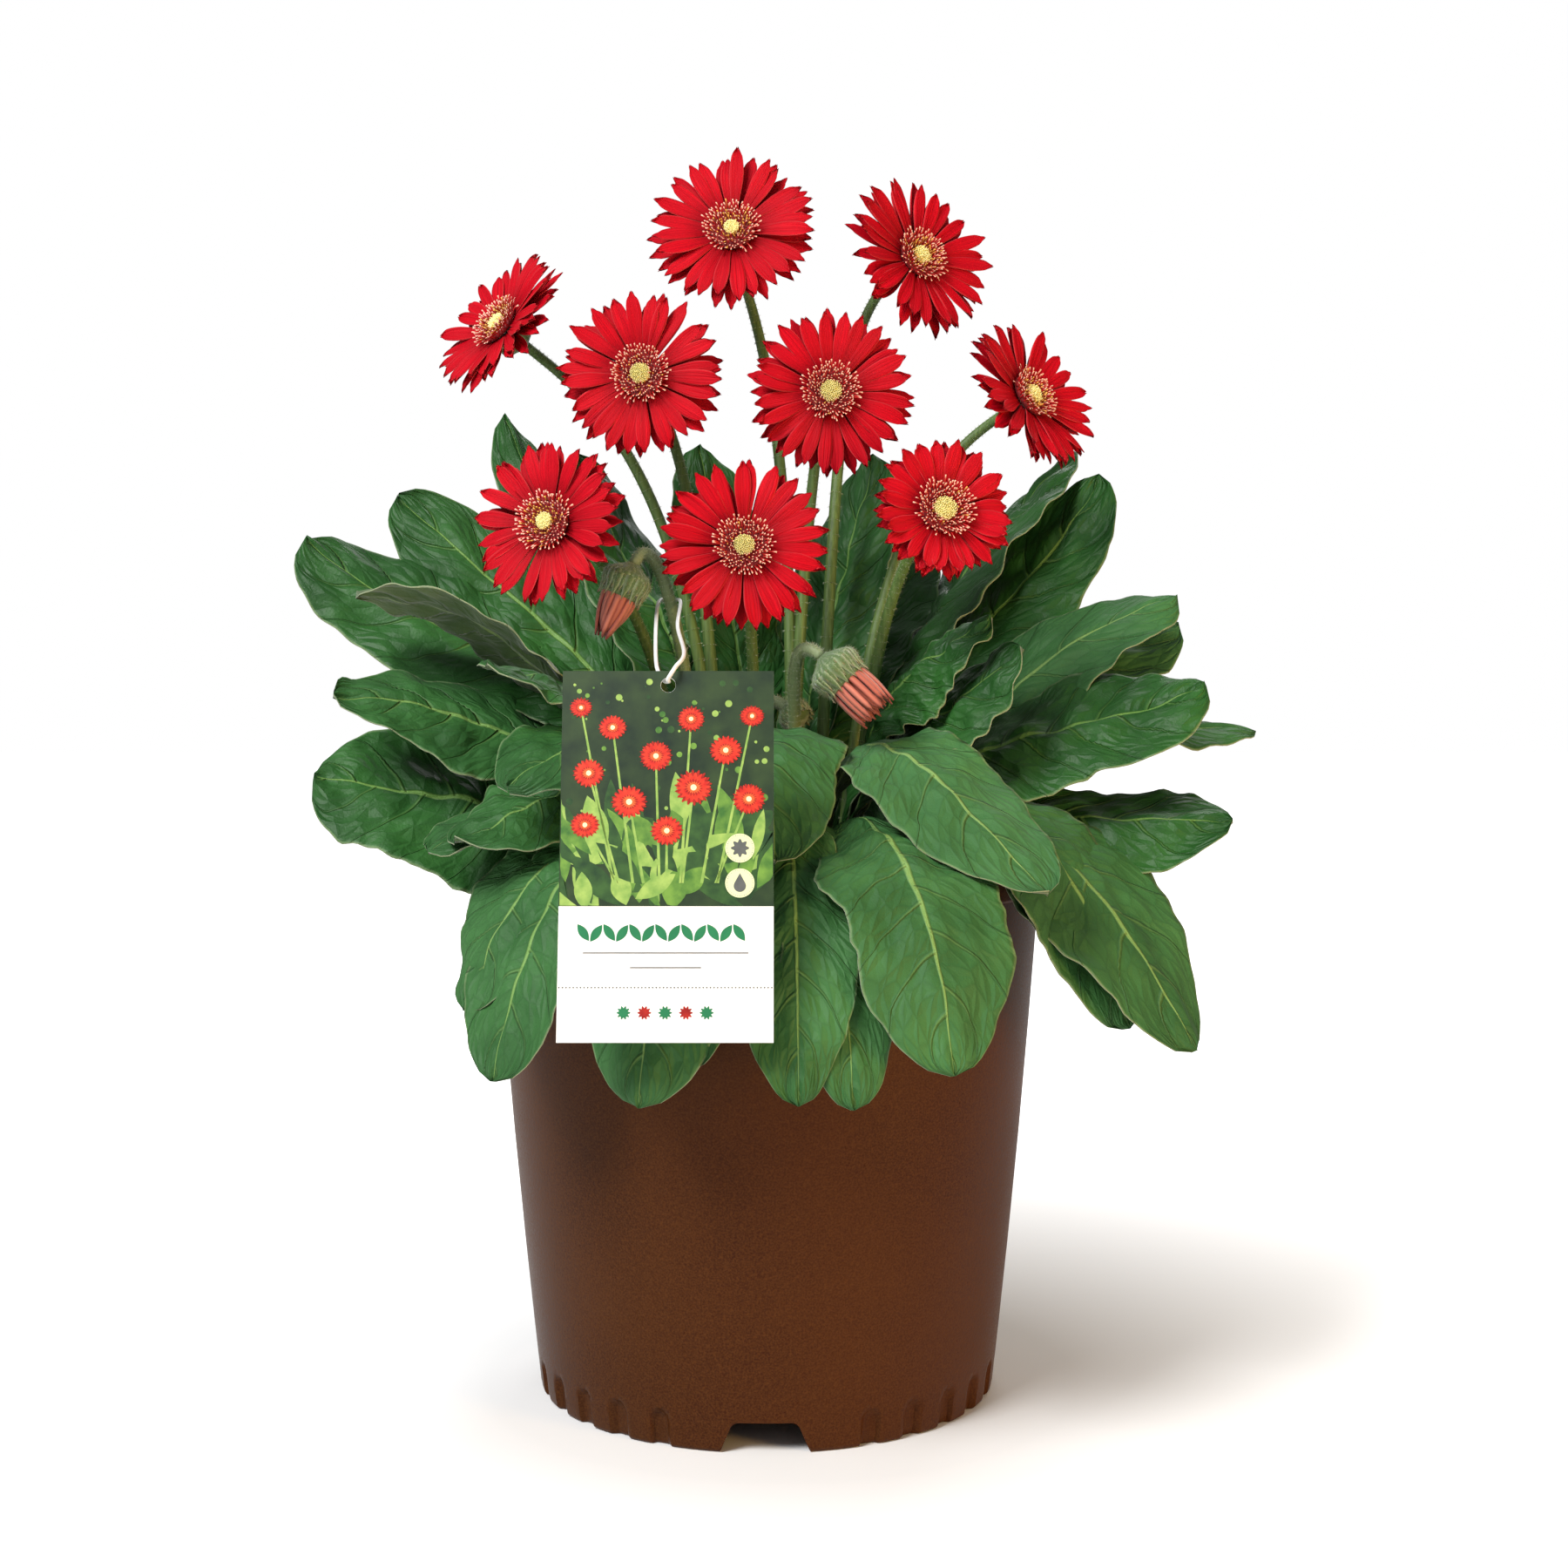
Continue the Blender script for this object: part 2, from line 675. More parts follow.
steps = times(vein_tree, calc(vein_tree, "SUBTRACT", along, rise), given["Veins"])
steps = calc(vein_tree, "ADD", steps, times(vein_tree, calc(vein_tree, "SIGN", parts["X"]), VEIN_STAGGER))
nearest = calc(vein_tree, "FRACT", calc(vein_tree, "ADD", steps, 0.5))
offset = calc(vein_tree, "ABSOLUTE", calc(vein_tree, "SUBTRACT", nearest, 0.5))
rib_width = calc(vein_tree, "MULTIPLY_ADD", calc(vein_tree, "SUBTRACT", 1.0, parts["Y"]), 0.045, 0.014)
side_width = calc(vein_tree, "MULTIPLY_ADD", calc(vein_tree, "SUBTRACT", 1.0, across), 0.035, 0.014)
stretched = {"X": times(vein_tree, parts["X"], 4.2), "Y": times(vein_tree, steps, 3.2)}
stretched["Z"] = times(vein_tree, parts["Z"], 19.0)
cells = {"Vector": add(vein_tree, "CombineXYZ", stretched).outputs[0], "Scale": 1.0}
net = add(vein_tree, "TexVoronoi", cells, feature="DISTANCE_TO_EDGE").outputs["Distance"]
masks = {
    "Midrib": ramp(vein_tree, calc(vein_tree, "DIVIDE", across, rib_width), 1.15, 0.55),
    "Side Veins": ramp(vein_tree, calc(vein_tree, "DIVIDE", offset, side_width), 1.2, 0.3),
    "Net": ramp(vein_tree, net, 0.10, 0.0),
    "Pillow": ramp(vein_tree, net, 0.0, 0.42),
    "Margin": ramp(vein_tree, across, 0.962, 0.988),
    "Tone": parts["Z"],
    "Across": across,
}
for label, socket in masks.items():
    vein_tree.links.new(socket, result[label])

# %% The upper side and the felted underside
def leaf_relief(tree, veins, rib, side, pillow, distance):
    """A leaf's relief: the weights of its ribs, side veins and pillows."""
    height = times(tree, cloud(tree, here(tree), 900.0, 3.0), 0.22)
    for label, weight in (("Midrib", rib), ("Side Veins", side), ("Pillow", pillow)):
        height = calc(tree, "ADD", height, times(tree, veins[label], weight))
    return relief(tree, height, 0.8, distance)


leaf_upper, tree, shader = finish("leaf upper side", 0.4, Specular_IOR_Level=0.3)
veins = add(tree, "Group", node_tree=vein_tree).outputs
deep = mottle(tree, 34.0, (0.016, 0.098, 0.009), (0.006, 0.046, 0.005))
bright = mottle(tree, 34.0, (0.062, 0.190, 0.056), (0.036, 0.128, 0.034))
green = blend(tree, veins["Tone"], deep, bright)
green = blend(tree, times(tree, veins["Net"], 0.22), green, (0.008, 0.05, 0.008))
pale_rib = blend(tree, veins["Tone"], (0.13, 0.28, 0.05), (0.24, 0.40, 0.12))
fading = times(tree, veins["Side Veins"], ramp(tree, veins["Across"], 0.9, -0.6))
green = blend(tree, times(tree, fading, 0.5), green, pale_rib)
green = blend(tree, times(tree, veins["Midrib"], 0.9), green, pale_rib)
green = blend(tree, times(tree, veins["Margin"], 0.55), green, (0.22, 0.32, 0.15))
feed(shader, Base_Color=green, Roughness=ramp(tree, veins["Tone"], -1.9, 2.2))
feed(shader, Normal=leaf_relief(tree, veins, -0.5, -1.1, 0.65, 0.0012))

leaf_felt, tree, shader = finish("leaf felted side", 0.85, Sheen_Weight=0.25, Specular_IOR_Level=0.25)
veins = add(tree, "Group", node_tree=vein_tree).outputs
felt = mottle(tree, 50.0, (0.090, 0.145, 0.050), (0.052, 0.095, 0.030))
felt = blend(tree, times(tree, veins["Side Veins"], 0.45), felt, (0.05, 0.10, 0.03))
felt = blend(tree, veins["Midrib"], felt, (0.22, 0.32, 0.10))
felt = blend(tree, times(tree, veins["Margin"], 0.8), felt, (0.30, 0.34, 0.2))
feed(shader, Base_Color=felt, Normal=leaf_relief(tree, veins, 0.8, 0.9, 0.5, 0.0009))

# %% [markdown]
# ## The leaves
#
# Each leaf is one thin arched blade on a petiole that rises out of the soil. Its midrib is a Bezier
# with the same points as in the CAD model, so the finer leaf lies where the coarse one does. Across
# it the blade is folded and waved, its margin is lobed towards the petiole, and the panels between
# the side veins puff up. Leaves that share a root are one piece, as they are one node.

# %% The leaves' places
Leaf = namedtuple("Leaf", "node root tip arch fall half roll swing fold bare", defaults=(0, 0, 14, 0.20))
# node, root as (ring radius, azimuth), tip as (x, y, z), all in mm. Azimuth 0 is the front, 90 the right.
# arch is how far the petiole rises before it bends, fall the tip's pitch and half the blade's half width.
# roll turns the face about the rib, swing bends the tip sideways and fold lifts the edges, in degrees.
# bare is the share of the length without a blade.
LEAVES = (
    Leaf("leaf_left_top", (36, -112), (-193, 30, 346), 118, 44, 27, -44, 0, 14, 0.26),
    Leaf("leaf_left_top", (32, -114), (-160, 62, 366), 92, 42, 24, -47),
    Leaf("leaf_left_olive", (41, -80), (-163, -16, 322), 66, 4, 23, 16, 0, 14, 0.3),
    Leaf("leaf_left_olive", (43, -77), (-103, -78, 292), 84, 8, 22, -18),
    Leaf("leaf_left_broad", (50, -97), (-168, -39, 280), 62, 2, 24, -36),
    Leaf("leaf_left_low", (58, -78), (-178, -28, 250), 52, 14, 30, -46),
    Leaf("leaf_left_fold", (52, -58), (-114, -87, 227), 94, -16, 24, -12),
    Leaf("leaf_left_fold", (53, -61), (-126, -74, 222), 84, -24, 22, -10),
    Leaf("leaf_left_front", (38, -48), (-92, -108, 248), 52, -32, 24, -14),
    Leaf("leaf_front_left", (55, -34), (-108, -100, 166), 52, -74, 26, -8, -12, 14, 0.40),
    Leaf("leaf_front_left", (55, -31), (-96, -120, 144), 74, -80, 26, -2, -8, 14, 0.40),
    Leaf("leaf_front_tag", (55, -14), (-43, -143, 139), 94, -82, 24, 0, 0, 14, 0.44),
    Leaf("leaf_front_tag", (55, -11), (-25, -141, 152), 98, -82, 17, 6, 0, 14, 0.44),
    Leaf("leaf_front_drop", (56, 8), (12, -150, 141), 84, -82, 18, 0, 0, 14, 0.42),
    Leaf("leaf_front_drop", (56, 11), (31, -147, 139), 80, -80, 18, 0, 0, 14, 0.42),
    Leaf("leaf_front_upper", (36, -3), (4, -123, 222), 118, -48, 24, -8),
    Leaf("leaf_front_upper", (36, 1), (14, -62, 254), 50, 40, 12),
    Leaf("leaf_front_right", (50, 27), (65, -148, 151), 64, -78, 27, 4, 0, 14, 0.38),
    Leaf("leaf_right_front", (40, 34), (101, -114, 210), 116, -38, 25, 16),
    Leaf("leaf_right_drop", (54, 68), (160, -80, 148), 86, -63, 29, 14, 0, 14, 0.34),
    Leaf("leaf_right_drop", (53, 64), (135, -78, 156), 94, -78, 26, 6, 0, 14, 0.42),
    Leaf("leaf_right_fold", (48, 94), (184, -28, 230), 60, 2, 25, 40, 0, 22),
    Leaf("leaf_right_broad", (46, 76), (174, -18, 286), 88, 28, 27, 38, 0, 16, 0.24),
    Leaf("leaf_right_back", (56, 118), (207, 40, 263), 52, -14, 22, 14),
    Leaf("leaf_right_back", (56, 122), (120, 128, 230), 58, -34, 30),
    Leaf("leaf_right_pale", (44, 108), (172, 31, 321), 42, 16, 24, 29),
    Leaf("leaf_right_pale", (44, 112), (178, 60, 309), 50, 16, 25, 32),
    Leaf("leaf_right_dark", (36, 134), (149, 99, 378), 96, 58, 24, 24, 0, 14, 0.28),
    Leaf("leaf_right_dark", (36, 138), (138, 116, 392), 92, 42, 22, -12),
    Leaf("leaf_middle_right", (36, 59), (99, -38, 299), 74, 44, 22, 36),
    Leaf("leaf_middle_right", (36, 62), (88, -31, 311), 82, 30, 19, 34, 0, 28),
    Leaf("leaf_back_middle", (26, 156), (46, 66, 384), 100, 70, 22, 4),
    Leaf("leaf_back_middle", (26, 161), (62, 110, 358), 92, 56, 25, 0),
    Leaf("leaf_back_right", (30, -170), (-30, 66, 388), 96, 70, 21, -6),
    Leaf("leaf_back_right", (30, -174), (-12, 106, 358), 90, 60, 21, 0),
    Leaf("leaf_back_left", (31, -148), (-84, 70, 384), 96, 60, 23, -16),
    Leaf("leaf_back_left", (33, -145), (-118, 92, 404), 98, 62, 20, -30, 0, 40),
    Leaf("leaf_back_low", (50, 164), (50, 142, 248), 84, -12, 30),
    Leaf("leaf_back_low", (50, 169), (-20, 158, 220), 70, -36, 30),
    Leaf("leaf_back_low_left", (52, -134), (-98, 132, 222), 64, -36, 30),
    Leaf("leaf_back_low_left", (52, -130), (-156, 78, 236), 62, -26, 30),
)

# How light each node's leaves are, from 0, dark and glossy, to 1, pale and matt.
TONES = {
    "leaf_left_top": 0.24,
    "leaf_left_olive": 0.40,
    "leaf_left_broad": 0.48,
    "leaf_left_low": 0.36,
    "leaf_left_fold": 0.55,
    "leaf_left_front": 0.40,
    "leaf_front_left": 0.66,
    "leaf_front_tag": 0.78,
    "leaf_front_drop": 0.70,
    "leaf_front_upper": 0.66,
    "leaf_front_right": 0.72,
    "leaf_right_front": 0.86,
    "leaf_right_drop": 0.66,
    "leaf_right_fold": 0.22,
    "leaf_right_broad": 0.12,
    "leaf_right_back": 0.45,
    "leaf_right_pale": 0.80,
    "leaf_right_dark": 0.12,
    "leaf_middle_right": 0.22,
}
BACK_TONE = 0.22
FELT_LEAVES = (2,)


# %% A leaf's form
BLADE_THICK = 0.45 * MM
RIB_THICK = 1.5 * MM
PETIOLE_HALF = 2.1 * MM
PETIOLE_THICK = 3.4 * MM
TIP_HALF = 1.4 * MM
WAVE_DEPTH = 2.4 * MM
PUCKER = 1.8 * MM
BROADER = 1.22
WIDER = {"leaf_right_drop": 1.42, "leaf_left_low": 1.34, "leaf_left_fold": 1.3, "leaf_right_fold": 1.1}
LEAF_COLUMNS = 28
LEAF_ROWS = 84
PETIOLE_ROWS = 12


def leaf_path(leaf):
    """The midrib: straight up out of the soil, then over to the tip."""
    ring, azimuth = leaf.root
    start = compass(azimuth) * (ring * MM) + Vector((0, 0, SOIL_TOP - ROOT_DEPTH))
    tip = Vector(leaf.tip) * MM
    level = tip - start
    azimuth = math.degrees(math.atan2(level.x, -level.y))
    end = pitched(compass(azimuth + leaf.swing), leaf.fall)
    handle = (0.40 + 0.50 * max(0, -end.z)) * level.length
    return (start, start + Vector((0, 0, leaf.arch * MM)), tip - end * handle, tip), azimuth


def blade_width(t):
    """Share of the full half width, from the blade's start (0) to its tip (1), widest past its middle."""
    rise, drop = 0.72, 0.52
    belly = rise / (rise + drop)
    peak = belly**rise * (1 - belly) ** drop
    t = min(max(t, 0.0), 1.0)
    return t**rise * (1 - t) ** drop / peak


def leaf_half(leaf, s, side, seed):
    """Half width on one side, with shallow lobes that deepen towards the petiole."""
    t = (s - leaf.bare) / (1 - leaf.bare)
    lobes = 1 + 0.10 * math.sin(13 * t + seed + side * 0.9) * (1 - 0.55 * max(t, 0))
    lobes += 0.05 * math.sin(31 * t + 2.3 * seed + side) * (1 - min(max(t, 0), 1)) ** 1.5
    lobes += 0.10 * noise.noise(Vector((t * 7, seed, side * 5)))
    lobes += 0.05 * noise.noise(Vector((t * 24, side * 3, seed)))
    wide = WIDER.get(leaf.node, BROADER) * leaf.half * MM * blade_width(t) * lobes
    floor = PETIOLE_HALF + (TIP_HALF * 0.3 - PETIOLE_HALF) * eased((s - leaf.bare) / 0.12)
    return max(wide, floor)


def leaf_stations(leaf):
    """For each row along the leaf: s, the spine's point, and the directions across and to the underside."""
    path, azimuth = leaf_path(leaf)
    level = compass(azimuth + 90)
    stations = []
    for row in range(LEAF_ROWS + 1):
        if row <= PETIOLE_ROWS:
            s = leaf.bare * row / PETIOLE_ROWS
        else:
            s = leaf.bare + (1 - leaf.bare) * (row - PETIOLE_ROWS) / (LEAF_ROWS - PETIOLE_ROWS)
        along = bezier_slope(path, s)
        across = (level - along * level.dot(along)).normalized()
        turn = math.radians(leaf.roll) * eased((s - 0.12) / 0.5)
        across = Matrix.Rotation(turn, 3, along) @ across
        stations.append((s, bezier(path, s), across, across.cross(along).normalized()))
    return stations


def leaf_shape(leaf, seed, pucker):
    """The formula that bends one strip, its back upward, into this leaf, and the blade's t along it."""
    stations = leaf_stations(leaf)

    def blade_place(share):
        return (stations[round(share * LEAF_ROWS)][0] - leaf.bare) / (1 - leaf.bare)

    def shape(u, share, upper):
        s, spine, across, under = stations[round(share * LEAF_ROWS)]
        half = leaf_half(leaf, s, 1 if u > 0 else -1, seed)
        blade = min(max((s - leaf.bare) / 0.15, 0), 1)
        fold = math.radians(leaf.fold) * blade
        sag = abs(u) * math.sin(fold) * half - 0.16 * half * u * u * blade
        sag += WAVE_DEPTH * blade * u * u * math.sin(15 * s + seed * 1.7 + (0.8 if u > 0 else 0))
        t = (s - leaf.bare) / (1 - leaf.bare)
        steps = (t - VEIN_RISE * abs(u) ** VEIN_CURVE) * SIDE_VEINS + math.copysign(VEIN_STAGGER, u)
        panel = abs(math.sin(math.pi * steps)) ** 0.7 * eased(abs(u) / 0.14) * (1 - abs(u) ** 3)
        crumple = noise.noise(Vector((u * half * 105, s * 15, seed))) * (1 - 0.5 * u * u)
        ruffle = noise.noise(Vector((s * 22, seed, u))) * abs(u) ** 4
        sag -= blade * pucker * ((panel - 0.5) * 1.0 + crumple * 1.6 + ruffle * 1.5)
        sag += blade * 0.8 * MM * math.exp(-((u / 0.06) ** 2)) * (1 - s)
        spot = spine + across * (u * half * math.cos(fold)) + under * sag
        if upper:
            petiole = PETIOLE_THICK * math.sqrt(1 - 0.93 * u * u)
            return spot - under * (petiole + (BLADE_THICK - petiole) * blade)
        rib = math.exp(-((u / 0.10) ** 2)) * (1 - s) * RIB_THICK
        return spot + under * (blade * (rib + 0.4 * MM * (1 - panel) * (1 - abs(u))))

    return shape, blade_place


# %% Draw the leaves
LEAF_SEED = 11
leaf_strip = strip_template(LEAF_COLUMNS, LEAF_ROWS)
by_node = {}
for number, leaf in enumerate(LEAVES):
    by_node.setdefault(leaf.node, []).append((number, leaf))
rng = random.Random(LEAF_SEED)
for node_name, members in by_node.items():
    bm = bmesh.new()
    for number, leaf in members:
        tone = min(max(TONES.get(node_name, BACK_TONE) + rng.uniform(-0.07, 0.07), 0), 1)
        pucker = PUCKER * rng.uniform(0.85, 1.15) * (1.35 - 0.7 * tone)
        shape, blade_place = leaf_shape(leaf, 1.3 * number, pucker)
        draw(bm, leaf_strip, shape, tone, 0 if number in FELT_LEAVES else None, blade_place)
    new_piece(node_name.replace("leaf_", "leaves_"), bm, [leaf_felt, leaf_upper], node_name)
print("leaf pieces", len(by_node), "leaves", len(LEAVES))

# %% [markdown]
# ## Blooms: the finishes
#
# A ray is velvety red with fine lines along it and a thin pale edge; its back is duller. The middle
# is a standing ring of small florets, maroon with pale salmon tips and some golden ones, round a
# pale yellow-green eye of florets that are still shut.

# %% Ray, floret and eye materials
def ray_finish(name, red, dusk, edge, edge_share):
    """A ray's finish: its red, the red of its grooves, and its margin."""
    made, tree, shader = finish(name, 0.6, Specular_IOR_Level=0.12)
    spot, parts = places(tree)
    streak = cloud(tree, spot, 1.0, 2.0, stretch=(9.0, 0.7, 30.0))
    colour = blend(tree, ramp(tree, streak, 0.35, 0.7), dusk, red)
    colour = blend(tree, times(tree, parts["Z"], 0.6), colour, dusk)
    colour = blend(tree, times(tree, ramp(tree, parts["Y"], 0.42, 0.0), 0.75), colour, (0.22, 0.0, 0.004))
    margin = ramp(tree, calc(tree, "ABSOLUTE", parts["X"]), 0.86, 1.0)
    colour = blend(tree, times(tree, margin, edge_share), colour, edge)
    feed(shader, Base_Color=colour, Normal=relief(tree, streak, 0.7, 0.0007))
    return made


ray_face = ray_finish("ray face", (0.62, 0.0, 0.010), (0.40, 0.0, 0.007), (0.70, 0.10, 0.10), 0.4)
ray_back = ray_finish("ray back", (0.36, 0.008, 0.014), (0.24, 0.004, 0.010), (0.58, 0.18, 0.14), 0.5)

floret_skin, tree, shader = finish("floret skin", 0.55)
parts = places(tree)[1]
tip = blend(tree, parts["Z"], (0.86, 0.50, 0.38), (0.80, 0.46, 0.08))
body = blend(tree, parts["Z"], (0.52, 0.004, 0.010), (0.42, 0.12, 0.02))
feed(shader, Base_Color=blend(tree, ramp(tree, parts["Y"], 0.70, 0.94), body, tip))

eye_skin = mottled("eye skin", 0.7, 900.0, (0.98, 0.90, 0.46), (0.80, 0.74, 0.28))
disc_bed = mottled("disc bed", 0.8, 700.0, (0.26, 0.003, 0.006), (0.10, 0.002, 0.004))

# %% [markdown]
# ## Stems and their hairs
#
# The stems are olive green and covered in fine pale hairs, which catch the light along both sides.
# Particle hair is lost in the export, so each hair is a slim three-sided spike in the stem's own
# mesh. Behind the head the stem widens into a cup of narrow overlapping bracts.

# %% Stem and hair materials
stem_skin, tree, shader = finish("stem skin", 0.55)
fibre = cloud(tree, here(tree), 1.0, 2.0, stretch=(900.0, 900.0, 30.0))
olive = blend(tree, ramp(tree, fibre, 0.3, 0.75), (0.060, 0.115, 0.022), (0.125, 0.205, 0.050))
parts = places(tree)[1]
olive = blend(tree, times(tree, parts["Z"], parts["Y"]), olive, (0.30, 0.36, 0.20))
feed(shader, Base_Color=olive, Normal=relief(tree, fibre, 0.5, 0.0004))

hair_skin = mottled("plant hair", 0.6, 300.0, (0.62, 0.66, 0.50), (0.40, 0.46, 0.28))

bract_skin, tree, shader = finish("bract skin", 0.75, Sheen_Weight=0.3)
parts = places(tree)[1]
rim = ramp(tree, calc(tree, "ABSOLUTE", parts["X"]), 0.3, 1.0)
bract = blend(tree, rim, (0.085, 0.15, 0.045), (0.34, 0.42, 0.24))
red_tip = times(tree, ramp(tree, parts["Y"], 0.75, 1.0), parts["Z"])
bract = blend(tree, red_tip, bract, (0.30, 0.09, 0.05))
feed(shader, Base_Color=bract, Normal=grain(tree, 1500.0, 0.5, 0.0003))

# %% The blooms' places
Bloom = namedtuple("Bloom", "name root head yaw pitch diameter cup bend eye", defaults=(5.0,))
# root as (x, y) in the soil and head as (x, y, z) of the bloom's centre, in mm. yaw turns the face to the
# right and pitch up, in degrees. cup is how far the rays rise, in degrees, bend bows the stem and eye is
# the radius of the pale eye, in mm.
BLOOMS = (
    Bloom("top", (8, 12), (-14, 10, 468), -4, 20, 71, 10, (9, 6), 3.6),
    Bloom("top_right", (20, 10), (62, 30, 461), 34, 18, 70, 12, (8, 8), 4.6),
    Bloom("far_left", (-16, 12), (-106, 0, 428), -49, 30, 66, 14, (-10, 10), 4.2),
    Bloom("left", (-18, 0), (-49, -20, 406), -6, 6, 68, 6, (-2, 6), 4.8),
    Bloom("middle", (8, -2), (25, -30, 398), 4, 4, 67, 5, (6, 8), 5.0),
    Bloom("far_right", (29, 6), (106, 10, 401), 46, 24, 66, 14, (10, 8), 4.6),
    Bloom("low_left", (-28, -5), (-80, -72, 344), -25, 12, 64, 12, (-9, 12), 3.8),
    Bloom("low_middle", (-6, -12), (-8, -65, 336), 2, 8, 66, 6, (4, 12), 4.6),
    Bloom("low_right", (35, -4), (67, -55, 350), 14, 14, 56, 10, (4, 14), 5.4),
)
STEM_RADIUS = 2.4 * MM
CUP_RADIUS = 8.2 * MM
CUP_DEPTH = 10 * MM
CORE_HALF = 1.9 * MM
SEAT_GAP = 0.3 * MM


def facing(place, yaw, pitch):
    """A matrix that sets a bloom modelled along +Z at its place with its face turned."""
    face = pitched(compass(yaw), pitch)
    right = compass(yaw + 90)
    up = face.cross(right).normalized()
    return Matrix.Translation(place) @ Matrix((right, up, face)).transposed().to_4x4()


# %% Stems and cups
STEM_SEED = 200
STEM_SIDES = 14
STEM_STEPS = 56
BLOOM_HAIRS = (10000, 1.25 * MM)
BUD_HAIRS = (16000, 1.6 * MM)
BRACTS_IN_ROW = 15
BRACT_HALF = 1.7 * MM
CUP_ROWS = ((0.05, 0.62), (0.2, 0.85), (0.36, 1.12))
# A cup's hairs: how many, from how low, how crowded at its foot, then their lean, straying and length.
CUP_HAIRS = (600, 0.1, 1, (0, 0.9), 0, (0.8, 1.8))
CALYX_HAIRS = (1500, 0, 0.8, (-0.2, 1.2), 0.4, (1.0, 2.4))


def stem_shape(path, thick_low, thick_high):
    """A stem's skin along a Bezier, thicker at its foot and slightly ribbed, and its axes."""
    frames = []
    hint = Vector((1, 0.2, 0))
    for step in range(STEM_STEPS + 1):
        share = step / STEM_STEPS
        frames.append(axes_at(bezier(path, share), bezier_slope(path, share), hint))
        hint = frames[-1].side

    def shape(turn, s, proud=0.0):
        radius = thick_low + (thick_high - thick_low) * s**0.7
        radius *= 1 + 0.04 * math.cos(5 * math.tau * turn)
        return round_point(frames[round(s * STEM_STEPS)], math.tau * turn, radius + proud)

    return shape, frames


def stem_hairs(bm, shape, frames, length, rng, per_metre, long):
    """Hairs all round a stem above the soil, standing out from it."""
    for index in range(int(length * per_metre)):
        s = rng.uniform(0.04, 1)
        root = shape(rng.random(), s, -0.1 * MM)
        axes = frames[round(s * STEM_STEPS)]
        way = (root - axes.base).normalized() + axes.along * rng.uniform(-0.5, 0.3)
        way += jitter(rng) * 0.35
        hair(bm, root, way.normalized(), long * rng.uniform(0.5, 1.1), rng.random())


def cup_hairs(bm, axes, cup, rng, count, lowest, crowd, leans, stray, lengths):
    """Hairs over a cup: from how low, how crowded at its foot, their lean, straying and length."""
    for index in range(count):
        turn, h = rng.uniform(0, math.tau), rng.uniform(lowest, 1) ** crowd
        way = spoke(axes, turn) + axes.along * rng.uniform(*leans)
        if stray:
            way += jitter(rng) * stray
        root = round_point(axes, turn, *cup(h))
        hair(bm, root, way.normalized(), rng.uniform(*lengths) * MM, rng.random())


bract_strip = strip_template(2, 6)


def bracts(bm, axes, cup, rows, count, width, rng, red_tip=0.0):
    """Rows of narrow pointed bracts that lie on a cup; cup(h) is (radius, distance along)."""
    for row, (start, end) in enumerate(rows):
        for index in range(count):
            angle = math.tau * (index + 0.5 * row + rng.uniform(-0.1, 0.1)) / count

            def shape(u, s, below):
                radius, height = cup(start + (end - start) * s)
                half = width * (1 - s**1.6) ** 0.7 * (0.6 + 0.4 * math.sin(math.pi * min(1, s + 0.25)))
                turn = angle + u * half / max(radius, 1 * MM)
                lift = (0.3 + 0.12 * row + 0.5 * s**4 - 0.25 * u * u - (0.35 if below else 0)) * MM
                return round_point(axes, turn, radius + lift, height)

            draw(bm, bract_strip, shape, red_tip, 2)


def make_stem(bloom, number):
    """A bloom's stem with its hairs, and the cup of bracts behind the head."""
    rng = random.Random(STEM_SEED + number)
    start = Vector((bloom.root[0] * MM, bloom.root[1] * MM, SOIL_TOP - ROOT_DEPTH))
    face = pitched(compass(bloom.yaw), bloom.pitch)
    end = Vector(bloom.head) * MM - face * (CORE_HALF + SEAT_GAP + CUP_DEPTH)
    height = end.z - start.z
    bow = Vector((*bloom.bend, 0)) * MM
    path = (start, start + Vector((0, 0, 0.8 * height)) + bow, end - face * (0.16 * height), end)
    neck = 0.80 * STEM_RADIUS
    bm = bmesh.new()
    shape, frames = stem_shape(path, 1.12 * STEM_RADIUS, neck)
    roll_up(bm, STEM_SIDES, STEM_STEPS, shape)
    axes = axes_at(end, face)

    def cup(h):
        """Radius and distance of the cup at a share of its depth."""
        swell = neck + (CUP_RADIUS - neck) * eased(h / 0.5) ** 0.8
        return swell * (1.0 - 0.06 * h * h), h * CUP_DEPTH

    roll_up(bm, 20, 8, lambda turn, s: round_point(axes, math.tau * turn, *cup(s)), 0, 2)
    bracts(bm, axes, cup, CUP_ROWS, BRACTS_IN_ROW, BRACT_HALF, rng)
    stem_hairs(bm, shape, frames, height, rng, *BLOOM_HAIRS)
    cup_hairs(bm, axes, cup, rng, *CUP_HAIRS)
    finishes = [stem_skin, hair_skin, bract_skin]
    new_piece(f"{bloom.name}_stem", bm, finishes, f"stem_{bloom.name}")


for number, bloom in enumerate(BLOOMS):
    make_stem(bloom, number)
print("stems", len(BLOOMS))

# %% [markdown]
# ## The rays
#
# Each bloom has forty-eight rays in two layers, with two grooves along them and a tip that narrows
# to small teeth. Each ray gets its own length, turn, twist and sideways bend from a seeded draw,
# because a flower whose rays are all alike looks stamped.

# %% Draw the rays
RAY_SEED = 40
RAYS_IN_LAYER = 24
RAY_HALF = 3.25 * MM
RAY_START = 6.5 * MM
RAY_TAPER = 0.52
RAY_TEETH = 0.8 * MM
CORE_EDGE = 9.4 * MM
RAY_THICK = 0.4 * MM
ray_strip = strip_template(6, 12)


